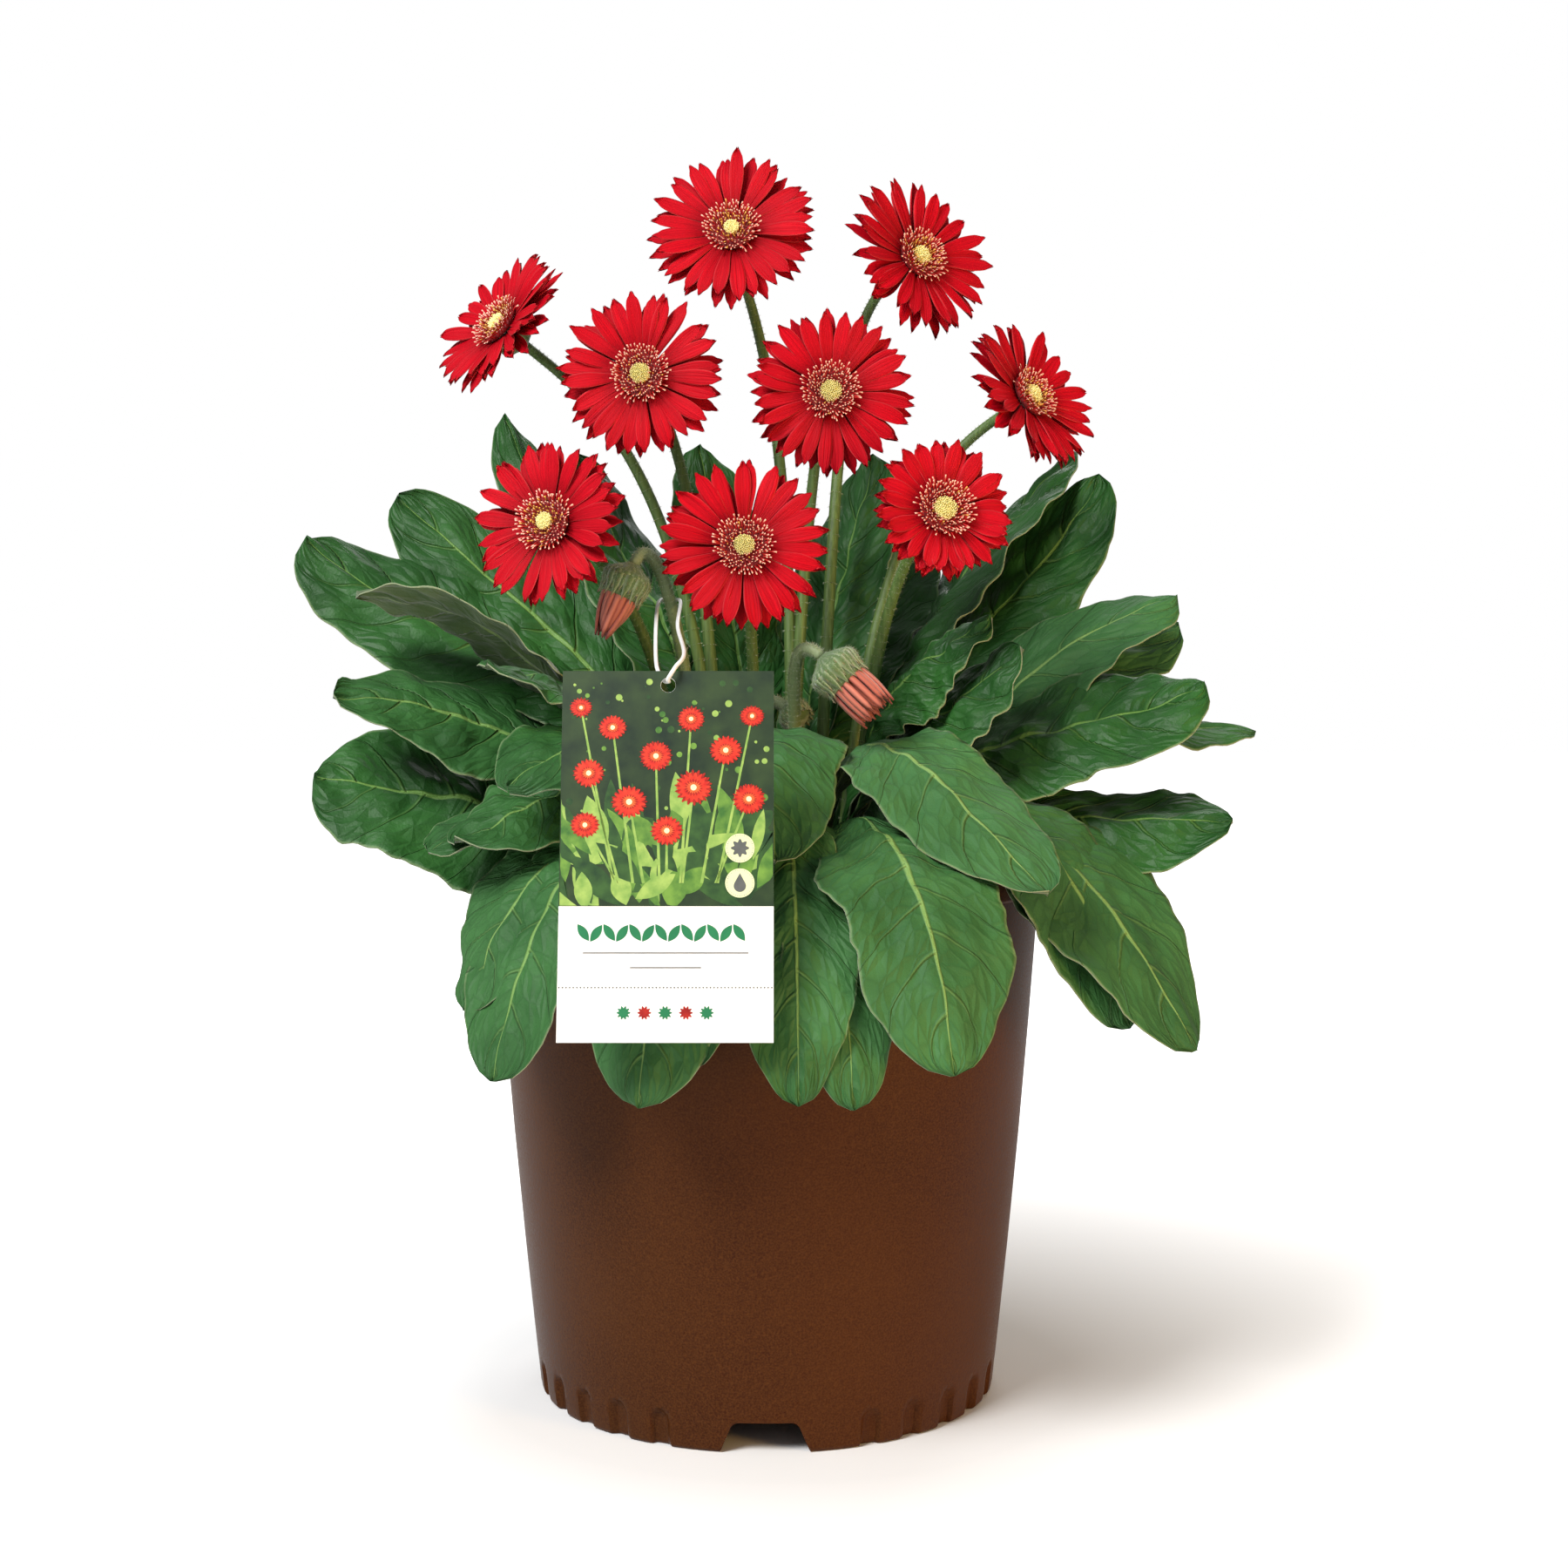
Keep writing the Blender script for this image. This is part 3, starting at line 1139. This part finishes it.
def ray_shape(azimuth, length, lift, rise, curl, rng):
    """The formula of one ray in the bloom's own frame, with its face towards +Z."""
    out = spoke(UPRIGHT, azimuth)
    aside = Vector((-out.y, out.x, 0))
    wide = RAY_HALF * rng.uniform(0.86, 1.06)
    twist = math.radians(rng.gauss(0, 9))
    bend = rng.gauss(0, 1.0) * MM
    channel = rng.uniform(-0.3, 1.5) * MM
    buckle, phase = rng.uniform(0.2, 0.7) * MM, rng.uniform(0, math.tau)
    slope = math.tan(math.radians(rise))

    def shape(u, share, below):
        s = 1 - (1 - share) ** 1.35
        half = wide * (0.42 + 0.58 * eased(s / 0.66))
        if s > RAY_TAPER:
            half *= (1 - 0.96 * ((s - RAY_TAPER) / (1 - RAY_TAPER)) ** 2.4) ** 0.6
        run = RAY_START + length * s
        run -= RAY_TEETH * (0.5 - 0.5 * math.cos(3 * math.pi * u)) * eased((s - 0.82) / 0.18)
        run -= 0.9 * MM * u * u * eased((s - 0.8) / 0.2)
        beyond = run - CORE_EDGE
        up = lift + beyond * slope - curl * max(beyond / length, 0) ** 2
        up += buckle * math.sin(5 * s + phase) * s
        dome = 0.38 * MM * math.cos(3 * math.pi * u) * math.sin(math.pi * min(s + 0.1, 1))
        dome += channel * u * u * (0.3 + 0.7 * s)
        if below:
            dome -= RAY_THICK * (1 - 0.55 * u * u)
        turn = twist * s
        x = u * half * math.cos(turn) - dome * math.sin(turn) + bend * s * s
        z = up + dome * math.cos(turn) + u * half * math.sin(turn)
        return out * run + aside * x + Vector((0, 0, z))

    return shape


def make_rays(bloom, number):
    """Both layers of rays of one bloom."""
    rng = random.Random(RAY_SEED + number)
    bm = bmesh.new()
    reach = bloom.diameter * MM / 2
    for upper in (False, True):
        for index in range(RAYS_IN_LAYER):
            azimuth = math.tau * (index + 0.5 * upper) / RAYS_IN_LAYER + rng.gauss(0, 0.045)
            length = (reach - RAY_START) * (0.99 if upper else 1.0) * rng.uniform(0.9, 1.02)
            rise = bloom.cup * 0.6 + (8 if upper else 0) + rng.gauss(0, 2.2)
            lift = ((1.5 if upper else -0.4) + rng.uniform(-0.4, 0.4)) * MM
            curl = reach * 0.09 * rng.uniform(0.5, 1.7)
            draw(bm, ray_strip, ray_shape(azimuth, length, lift, rise, curl, rng), rng.random())
    bm.transform(facing(Vector(bloom.head) * MM, bloom.yaw, bloom.pitch))
    new_piece(f"{bloom.name}_rays", bm, [ray_face, ray_back], f"rays_{bloom.name}")


for number, bloom in enumerate(BLOOMS):
    make_rays(bloom, number)
print("rays", len(BLOOMS) * 2 * RAYS_IN_LAYER)

# %% [markdown]
# ## The florets
#
# Sunflower-like, the florets follow the golden angle, so that they fill the ring evenly at any
# radius. The outer ones lean outward and curl back; the inner ones stand up round the eye.

# %% Draw the florets and the eye
GOLDEN = math.pi * (3 - math.sqrt(5))
FLORET_SEED = 90
FLORETS = 210
RING_RADIUS = 9.2 * MM
EYE_BEADS = 120
BEAD_RADIUS = 0.40 * MM
GOLDEN_MIDDLES = ("top", "top_right", "far_left", "far_right", "low_left")
floret_strip = strip_template(1, 4)


def floret_shape(angle, radius, base, length, lean, rng):
    """One floret: a slim curved strap."""
    out = spoke(UPRIGHT, angle)
    twist = rng.uniform(-0.5, 0.5)
    aside = Vector((-out.y, out.x, 0)) * math.cos(twist) + Vector((0, 0, math.sin(twist)))
    start = out * radius + Vector((0, 0, base))
    sway = rng.uniform(-0.35, 0.35)

    def shape(u, s, below):
        tilt = lean * (0.55 + 0.75 * s)
        way = out * math.sin(tilt) + Vector((0, 0, math.cos(tilt)))
        face = Vector((0, 0, math.sin(tilt))) - out * math.cos(tilt)
        half = (0.24 - 0.08 * s + 0.12 * s**4) * MM
        thick = 0.30 * MM * (1 - 0.4 * s)
        spot = start + way * (length * s) + aside * (u * half + sway * MM * s * s)
        return spot - face * thick if below else spot

    return shape


def mound(radius, base, crown):
    """A low mound: an upright wall, then a top that closes to the middle at crown(s, share)."""

    def shape(turn, s):
        share = 1 if s < 0.1 else 1 - (s - 0.1) / 0.9
        height = 0 if s < 0.05 else crown(s, share) * MM
        return round_point(UPRIGHT, math.tau * turn, radius * share, base + height)

    return shape


def make_florets(bloom, number):
    """The bed, the ring of florets and the eye of one bloom."""
    rng = random.Random(FLORET_SEED + number)
    bm = bmesh.new()
    base = CORE_HALF + SEAT_GAP
    eye = 0.82 * bloom.eye * MM
    gold = 0.9 if bloom.name in GOLDEN_MIDDLES else 0.12
    bed = mound(RING_RADIUS, base, lambda s, share: 1.8 - 1.2 * max(s - 0.1, 0))
    roll_up(bm, 28, 10, bed, 0, 2)
    for index in range(FLORETS):
        share = (index + 0.5) / FLORETS
        radius = math.sqrt(eye**2 + (RING_RADIUS**2 - eye**2) * share)
        out = (radius - eye) / (RING_RADIUS - eye)
        length = (2.4 + 1.8 * out + rng.uniform(-0.6, 1.0)) * MM
        lean = math.radians(4 + 30 * out**1.5 + rng.gauss(0, 9))
        golden = 1.0 if rng.random() < gold * (1 - out) ** 1.5 else rng.uniform(0, 0.12)
        shape = floret_shape(index * GOLDEN, radius, base + 0.8 * MM, length, lean, rng)
        draw(bm, floret_strip, shape, golden, 0)
    for index in range(EYE_BEADS):
        share = math.sqrt((index + 0.5) / EYE_BEADS) * 1.06
        spot = round_point(UPRIGHT, index * GOLDEN, eye * share, base + (2.4 - 1.0 * share**2) * MM)
        size = Matrix.Diagonal((BEAD_RADIUS, BEAD_RADIUS, rng.uniform(0.9, 2.1) * MM, 1))
        stamp(bm, BEAD, Matrix.Translation(spot) @ size, 0, 1)
    roll_up(bm, 20, 8, mound(eye, base, lambda s, share: 2.6 - 1.0 * share**2), 0, 1)
    bm.transform(facing(Vector(bloom.head) * MM, bloom.yaw, bloom.pitch))
    finishes = [floret_skin, eye_skin, disc_bed]
    new_piece(f"{bloom.name}_florets", bm, finishes, f"disc_{bloom.name}")


for number, bloom in enumerate(BLOOMS):
    make_florets(bloom, number)
print("florets", len(BLOOMS) * FLORETS)

# %% [markdown]
# ## The buds
#
# A young gerbera bud nods on a crooked stem that is white with hairs. Its cup is a stack of narrow
# green bracts, and the shut rays show beyond it as a tight bundle, coppery outside.

# %% The buds' places and finish
Bud = namedtuple("Bud", "name root crook tip radius length fan")
# crook is the top of the bent stem, tip where the shut rays point, in mm, and fan how far they spread.
BUDS = (
    Bud("left", (-22, -16), (-47, -62, 334), (-62, -66, 306), 9, 20, 0.45),
    Bud("right", (15, -15), (18, -60, 297), (44, -66, 279), 10, 21, 1.05),
    Bud("green", (-16, -28), (6, -20, 276), (20, -34, 270), 6, 13, 0),
)
BUD_SEED = 300
BUD_BRACTS = 14
BUD_BRACT_HALF = 1.9 * MM
CALYX_ROWS = ((0.02, 0.5), (0.12, 0.7), (0.28, 0.9), (0.42, 1.12))
# Each ring of shut rays, as how many there are and how far out they stand.
BUD_RINGS = ((18, 1.0), (12, 0.62), (6, 0.25))
bud_skin, tree, shader = finish("bud ray skin", 0.6, Sheen_Weight=0.2)
parts = places(tree)[1]
rim = ramp(tree, calc(tree, "ABSOLUTE", parts["X"]), 0.4, 1.0)
coral = blend(tree, parts["Z"], (0.46, 0.115, 0.07), (0.60, 0.19, 0.13))
coral = blend(tree, times(tree, rim, 0.7), coral, (0.30, 0.04, 0.03))
feed(shader, Base_Color=blend(tree, ramp(tree, parts["Y"], 0.8, 1.0), coral, (0.20, 0.03, 0.02)))
bud_strip = strip_template(2, 8)


# %% Draw the buds
def bud_path(bud):
    """The bud's stem: up out of the soil, over its crook and down into the cup."""
    start = Vector((bud.root[0] * MM, bud.root[1] * MM, SOIL_TOP - ROOT_DEPTH))
    crook, tip = Vector(bud.crook) * MM, Vector(bud.tip) * MM
    axis = (tip - crook).normalized()
    rise = Vector((*start.lerp(crook, 0.15).xy, start.lerp(crook, 0.55).z))
    over = Vector((crook.x - 0.5 * axis.x * bud.length * MM, crook.y, crook.z + 24 * MM))
    neck = tip - axis * (1.35 * bud.length * MM)
    way = (0.7 * axis + 0.3 * (neck - over).normalized()).normalized()
    return start, rise, neck - way * 27 * MM, neck


def make_bud(bud, number):
    """The stem, hairs and bracts of a bud, and its shut rays as a second piece."""
    rng = random.Random(BUD_SEED + number)
    length, radius = bud.length * MM, bud.radius * MM
    path = bud_path(bud)
    bm = bmesh.new()
    shape, frames = stem_shape(path, 1.1 * STEM_RADIUS, 0.92 * STEM_RADIUS)
    roll_up(bm, STEM_SIDES, STEM_STEPS, shape, 0.75)
    axes = axes_at(path[3], bezier_slope(path, 1))

    def calyx(h):
        """Radius and distance of the cup at a share of its length."""
        belly = 0.9 * STEM_RADIUS + (radius - 0.9 * STEM_RADIUS) * eased(h / 0.42) ** 0.7
        return belly * (1 - 0.16 * eased((h - 0.5) / 0.5)), h * 0.68 * length

    def calyx_shape(turn, s):
        wide, reach = calyx(s)
        wide *= 0.02 if s > 0.99 and not bud.fan else 1
        return round_point(axes, math.tau * turn, wide, reach)

    roll_up(bm, 20, 10, calyx_shape, 0, 2)
    bracts(bm, axes, calyx, CALYX_ROWS, BUD_BRACTS, BUD_BRACT_HALF, rng, 0.5)
    stem_hairs(bm, shape, frames, 0.15, rng, *BUD_HAIRS)
    cup_hairs(bm, axes, calyx, rng, *CALYX_HAIRS)
    finishes = [stem_skin, hair_skin, bract_skin]
    new_piece(f"bud_{bud.name}_stem", bm, finishes, f"bud_stem_{bud.name}")
    if bud.fan:
        make_bud_rays(bud, axes._replace(base=axes.base + axes.along * (0.5 * length)), rng)


def make_bud_rays(bud, mouth, rng):
    """Shut rays: slim strips side by side in rings, which close or fan a little."""
    bm = bmesh.new()
    reach, wide = 0.98 * bud.length * MM, 0.76 * bud.radius * MM
    for ring, (count, inward) in enumerate(BUD_RINGS):
        for index in range(count):
            angle = math.tau * (index + 0.5 * ring) / count + rng.gauss(0, 0.04)
            aside = mouth.along.cross(spoke(mouth, angle))
            far = reach * rng.uniform(0.86, 1.04)

            def shape(u, s, below):
                spread = wide * inward * (1 + (bud.fan - 1) * s**1.6 + 0.12 * math.sin(math.pi * s))
                half = ((1.15 - 0.2 * s) * (1 - s**7) ** 0.5 + 0.08) * MM
                lift = (-0.25 * u * u - (0.55 if below else 0)) * MM
                return round_point(mouth, angle, spread + lift, far * s) + aside * (u * half)

            draw(bm, bud_strip, shape, rng.random(), 0)
    new_piece(f"bud_{bud.name}_rays", bm, [bud_skin], f"bud_rays_{bud.name}")


for number, bud in enumerate(BUDS):
    make_bud(bud, number)
print("buds", len(BUDS))

# %% [markdown]
# ## The hang tag
#
# The tag is a plain printed card. Its print is a picture of its own: red daisies over leaves on a
# dark green ground with two pale symbols, and below it a white panel with a garland of leaves, two
# rules, a dotted line and a row of small flowers. Each motif is a very thin layer of its own colour
# on the card, so that it stays sharp at any distance.

# %% The card and its frame
TAG_WIDTH = 73 * MM
TAG_HEIGHT = 128 * MM
TAG_THICK = 0.8 * MM
TAG_HOLE = 2.6 * MM
TAG_HOLE_DROP = 5 * MM
TAG_TOP = Vector((-33, -130, 289)) * MM
TAG_LEAN = math.radians(13)
TAG_UP = Vector((0, math.sin(TAG_LEAN), math.cos(TAG_LEAN)))
TAG_OUT = Vector((0, -math.cos(TAG_LEAN), math.sin(TAG_LEAN)))
TAG_SIDE = Vector((1, 0, 0))
INK_THICK = 0.03 * MM
TAG_FRAME = Matrix.Translation(TAG_TOP) @ Matrix((TAG_SIDE, TAG_UP, TAG_OUT)).transposed().to_4x4()

tag_card = bmesh.new()
bmesh.ops.create_cube(tag_card, size=1)
bmesh.ops.scale(tag_card, verts=tag_card.verts, vec=(TAG_WIDTH, TAG_HEIGHT, TAG_THICK))
bmesh.ops.translate(tag_card, verts=tag_card.verts, vec=(0, -TAG_HEIGHT / 2, 0))
punch = bmesh.new()
bmesh.ops.create_cone(
    punch, cap_ends=True, segments=32, radius1=TAG_HOLE, radius2=TAG_HOLE, depth=8 * TAG_THICK
)
bmesh.ops.translate(punch, verts=punch.verts, vec=(0, -TAG_HOLE_DROP, 0))
tag_card = cut_away(tag_card, punch)
tag_card.transform(TAG_FRAME)
card = mottled("tag card", 0.35, 60.0, (0.90, 0.90, 0.89), (0.86, 0.86, 0.85), (1500.0, 0.1, 0.0002))
new_piece("hang_tag", tag_card, [card], "tag", sharp=30)


# %% Helpers for the print
# The print's sizes in mm: half the card's width, the picture's depth and the height of the hole.
HALF_WIDE, PANEL, HOLE_Y = TAG_WIDTH / MM / 2, 0.64 * TAG_HEIGHT / MM, -TAG_HOLE_DROP / MM


def circle_points(centre, radius, count=40, wave=0, depth=0.0):
    """An outline round a centre; a wave pulls it in between its petals."""
    points = []
    for index in range(count):
        angle = math.tau * index / count
        far = radius * (1 - depth * (0.5 - 0.5 * math.cos(wave * angle)))
        points.append((centre[0] + far * math.cos(angle), centre[1] + far * math.sin(angle)))
    return points


def ink(bm, outline, level, finish_index):
    """One flat motif, a closed outline in mm from the middle of the card's top edge, a hair thick."""
    depth = TAG_THICK / 2 + INK_THICK * level
    face = bm.faces.new([bm.verts.new((x * MM, y * MM, depth)) for x, y in outline])
    face.material_index = finish_index
    thicken(bm, [face], INK_THICK, finish_index)


def lens_shape(foot, way, length, wide, count=9):
    """A pointed leaf outline from its foot, way in degrees from upright."""
    angle = math.radians(way)
    up, side = Vector((math.sin(angle), math.cos(angle))), Vector((math.cos(angle), -math.sin(angle)))
    shares = [(1, index / count) for index in range(count)]
    shares += [(-1, 1 - index / count) for index in range(count)]
    bulges = [(hand * wide * math.sin(math.pi * share) ** 0.9, share) for hand, share in shares]
    return [Vector(foot) + up * length * share + side * bulge for bulge, share in bulges]


def inside(points, top=-0.3):
    """The outline held within the picture."""
    edge = HALF_WIDE - 0.3
    return [(min(max(x, -edge), edge), min(max(y, -PANEL + 0.2), top)) for x, y in points]


# %% The tag's inks
INKS = {
    "ground": ((0.030, 0.060, 0.020), (0.008, 0.022, 0.012), 90.0),
    "red": ((0.72, 0.05, 0.02), (0.50, 0.015, 0.01), 500.0),
    "leaf": ((0.16, 0.32, 0.05), (0.04, 0.14, 0.025), 220.0),
    "stem": ((0.34, 0.50, 0.12), (0.18, 0.34, 0.07), 300.0),
    "pale": ((0.78, 0.85, 0.50), (0.74, 0.82, 0.46), 300.0),
    "grey": ((0.12, 0.13, 0.13), (0.09, 0.10, 0.10), 300.0),
    "dark leaf": ((0.04, 0.11, 0.025), (0.012, 0.045, 0.015), 200.0),
    "dark red": ((0.42, 0.02, 0.01), (0.26, 0.008, 0.006), 500.0),
    "orange": ((0.80, 0.16, 0.04), (0.62, 0.07, 0.02), 500.0),
    "band": ((0.02, 0.20, 0.08), (0.015, 0.17, 0.07), 200.0),
}
inks = [mottled(f"ink {name}", 0.35, scale, light, dark) for name, (light, dark, scale) in INKS.items()]
GROUND, RED, LEAF, STALK, PALE, GREY, DARK_LEAF, DARK_RED, ORANGE, BAND = range(len(INKS))

# %% The tag's picture
PRINT_SEED = 77
SPOTS = 70
BLADES = 90
# Each daisy's head as (x, y, radius), in mm from the middle of the card's top edge.
HEADS = ((-27, -36, 5.6), (-19, -20, 5.0), (-13, -46, 6.4), (-4, -30, 5.8), (8, -17, 4.8), (9, -41, 6.6))
HEADS += ((20, -28, 5.8), (29, -16, 4.4), (28, -45, 5.8), (-28, -54, 5.2), (0, -56, 5.8), (-30, -13, 4.0))
STALK_FOOT = -74
PETAL_LAYERS = ((1.0, DARK_RED), (0.92, RED), (0.5, DARK_RED), (0.4, ORANGE))

rng = random.Random(PRINT_SEED)
picture = bmesh.new()
ring = circle_points((0, HOLE_Y), TAG_HOLE / MM + 0.05, 32)
upper = [(-HALF_WIDE, HOLE_Y), (-HALF_WIDE, 0), (HALF_WIDE, 0), (HALF_WIDE, HOLE_Y)]
lower = [(HALF_WIDE, HOLE_Y), (HALF_WIDE, -PANEL), (-HALF_WIDE, -PANEL), (-HALF_WIDE, HOLE_Y)]
ink(picture, upper + ring[:17], 0, GROUND)
ink(picture, lower + ring[16:] + ring[:1], 0, GROUND)
for index in range(SPOTS):
    spot = (rng.uniform(-34, 34), rng.uniform(-50, -3))
    kind = (LEAF, DARK_LEAF, STALK)[index % 3]
    ink(picture, circle_points(spot, rng.uniform(0.3, 1.3), 12), 1 + index * 0.01, kind)
for index in range(BLADES):
    foot = (rng.uniform(-35, 35), rng.uniform(-84, -58))
    kind = (DARK_LEAF, LEAF, DARK_LEAF, STALK)[index % 4]
    outline = lens_shape(foot, rng.uniform(-75, 75), rng.uniform(12, 26), rng.uniform(2, 4.5))
    ink(picture, inside(outline), 2 + index * 0.02, kind)
for index, (x, y, radius) in enumerate(HEADS):
    foot = x * 0.6
    ink(picture, [(x - 0.35, y), (x + 0.35, y), (foot + 0.5, STALK_FOOT), (foot - 0.5, STALK_FOOT)], 4, STALK)
    turn = rng.uniform(0, 6)
    for layer, (share, kind) in enumerate(PETAL_LAYERS):
        petals = circle_points((0, 0), radius * share, 108, 18, 0.30)
        c, n = math.cos(turn + layer * 0.17), math.sin(turn + layer * 0.17)
        flat = rng.uniform(0.82, 1)
        outline = [(x + a * c - b * n, y + (a * n + b * c) * flat) for a, b in petals]
        ink(picture, inside(outline), 5 + 0.1 * index + 0.8 * layer, kind)
    ink(picture, circle_points((x, y), 0.16 * radius, 16), 9.6, PALE)

# %% The tag's symbols and panel
SYMBOLS = ((25, -62), (25, -74))
GARLAND = 13
DOTS = 60
SMALL_FLOWERS = 5
for x, y in SYMBOLS:
    ink(picture, circle_points((x, y), 5.0), 10, PALE)
    for dot in circle_points((x, y), 4.4, 36):
        ink(picture, circle_points(dot, 0.14, 6), 11, GREY)
ink(picture, circle_points(SYMBOLS[0], 3.2, 48, 8, 0.35), 11, GREY)
drop = circle_points((25, -75), 2.1, 24)
ink(picture, [(25, -70.6)] + drop[10:] + drop[:3], 11, GREY)
for index in range(GARLAND):
    odd = index % 2
    ink(picture, lens_shape((-30 + index * 4.4, -94 if odd else -88), 35 if odd else 145, 7.0, 1.5), 0, BAND)
for y, reach in ((-98, 28), (-103, 12)):
    ink(picture, [(-reach, y), (reach, y), (reach, y + 0.4), (-reach, y + 0.4)], 0, GREY)
for index in range(DOTS):
    x = -HALF_WIDE + (index + 0.5) * 2 * HALF_WIDE / DOTS
    ink(picture, circle_points((x, -109.5), 0.3, 8), 0, GREY)
for index in range(SMALL_FLOWERS):
    ink(picture, circle_points((-14 + index * 7, -118), 2.4, 60, 10, 0.35), 0, (BAND, DARK_RED)[index % 2])
picture.transform(TAG_FRAME)
new_piece("tag_print", picture, inks, sharp=30)

# %% [markdown]
# ## The tag's loop
#
# The tag hangs on a closed loop of thin white plastic that goes through its hole and round the left
# bud's stem. A smooth closed curve with a round bevel gives it, made a mesh before it is placed.

# %% Bend the loop
LOOP_RADIUS = 0.75 * MM
LOOP_PLACE = 0.62
hole = TAG_TOP - TAG_UP * (TAG_HOLE_DROP - TAG_HOLE + LOOP_RADIUS + SEAT_GAP)
around = bezier(bud_path(BUDS[0]), LOOP_PLACE)
wide = STEM_RADIUS + LOOP_RADIUS + 3 * SEAT_GAP
aside, back, forward = TAG_SIDE * wide, Vector((0, 1, 0)), Vector((0, -22, -10)) * MM
# The loop's points near the hole, as mm aside, up the card, out from it and back, before and after the stem.
BEFORE = ((0, 0.2, 2.2, 0), (2.5, 4, 3.5, 0), (5, 10, 0, 8))
AFTER = ((-5, 6, 0, 14), (-2, 1.5, -4.5, 0), (0, 0.2, -1.8, 0))


def near_hole(place):
    """A point of the loop near the hole."""
    directions = (TAG_SIDE, TAG_UP, TAG_OUT, back)
    return sum((way * (far * MM) for way, far in zip(directions, place)), hole)


def smooth_loop(points, between):
    """Points on a closed smooth curve through the given ones."""
    made = []
    for index in range(len(points)):
        a, b, c, d = (points[(index + step - 1) % len(points)] for step in range(4))
        for step in range(between):
            t = step / between
            bend = (2 * a - 5 * b + 4 * c - d) * t**2 + (3 * b - a - 3 * c + d) * t**3
            made.append(0.5 * (2 * b + (c - a) * t + bend))
    return made


route = [near_hole(place) for place in BEFORE]
route += [around + aside + forward, around + aside, around + back * wide]
route += [around - aside, around - aside + forward]
route += [near_hole(place) for place in AFTER]
white_plastic = mottled("loop plastic", 0.3, 200.0, (0.88, 0.88, 0.87), (0.82, 0.82, 0.81))
wire = bpy.data.curves.new("loop curve", "CURVE")
wire.dimensions = "3D"
wire.bevel_depth = LOOP_RADIUS
wire.bevel_resolution = 4
spline = wire.splines.new("POLY")
loop_points = smooth_loop(route, 10)
spline.points.add(len(loop_points) - 1)
for point, spot in zip(spline.points, loop_points):
    point.co = (*spot, 1)
spline.use_cyclic_u = True
carrier = put("loop carrier", wire)
loop_mesh = bpy.data.meshes.new_from_object(carrier.evaluated_get(bpy.context.evaluated_depsgraph_get()))
bpy.data.objects.remove(carrier)
loop_bm = bmesh.new()
loop_bm.from_mesh(loop_mesh)
new_piece("tag_wire", loop_bm, [white_plastic], "tag_loop")

# %% [markdown]
# ## Floor and light
#
# The photograph is a studio shot on white. A broad soft light from the upper left gives the main
# shading and lets the shadow fall to the right, a warm weak one from the right lights the pot's
# edge, and a white surround fills the rest.

# %% Floor, lights and surround
FLOOR_HALF = 8
floor_mesh = bmesh.new()
bmesh.ops.create_grid(floor_mesh, x_segments=1, y_segments=1, size=FLOOR_HALF)
floor = put("floor", as_mesh(floor_mesh, "floor"))
floor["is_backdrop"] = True
floor_paint, tree, shader = finish("floor paint", 0.9, Specular_IOR_Level=0.1)
shader.inputs["Base Color"].default_value = (0.93, 0.93, 0.93, 1)
shader.inputs["Emission Color"].default_value = (1, 1, 1, 1)
away = add(tree, "VectorMath", {0: here(tree)}, operation="LENGTH").outputs["Value"]
seen = add(tree, "LightPath").outputs["Is Camera Ray"]
feed(shader, Emission_Strength=times(tree, seen, ramp(tree, away, 0.12, 0.5)))
floor.data.materials.append(floor_paint)


def soft_light(name, place, aim, width, height, power, colour=(1, 1, 1)):
    """A rectangular studio light that looks at a point."""
    data = bpy.data.lights.new(name, "AREA")
    data.shape = "RECTANGLE"
    data.size, data.size_y = width, height
    data.energy, data.color = power, colour
    light = put(name, data)
    light.location = place
    light.rotation_euler = (Vector(aim) - Vector(place)).to_track_quat("-Z", "Y").to_euler()


soft_light("key", (-0.75, -1.0, 1.35), (0, 0, 0.26), 0.6, 0.6, 32)
soft_light("warm side", (0.95, -0.75, 0.22), (0, 0, 0.08), 0.3, 0.5, 8, (1.0, 0.58, 0.16))
soft_light("back top", (0.35, 1.2, 1.3), (0, 0, 0.3), 0.8, 0.5, 6)

world = bpy.data.worlds.new("studio")
bpy.context.scene.world = world
world.use_nodes = True
tree = world.node_tree
background = tree.nodes["Background"]
seen = add(tree, "LightPath").outputs["Is Camera Ray"]
feed(background, Strength=calc(tree, "MULTIPLY_ADD", seen, 0.70, 0.30))
background.inputs["Color"].default_value = (1, 1, 1, 1)
bpy.context.scene.view_settings.view_transform = "Standard"

# %% [markdown]
# ## Sizes
#
# The looks may not change the object's size, so both boxes are written down: the CAD model's, from
# just after it was loaded, and that of the dressed model.

# %% Write the sizes and finish
triangles = sum(len(p.vertices) - 2 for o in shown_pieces() if o.type == "MESH" for p in o.data.polygons)
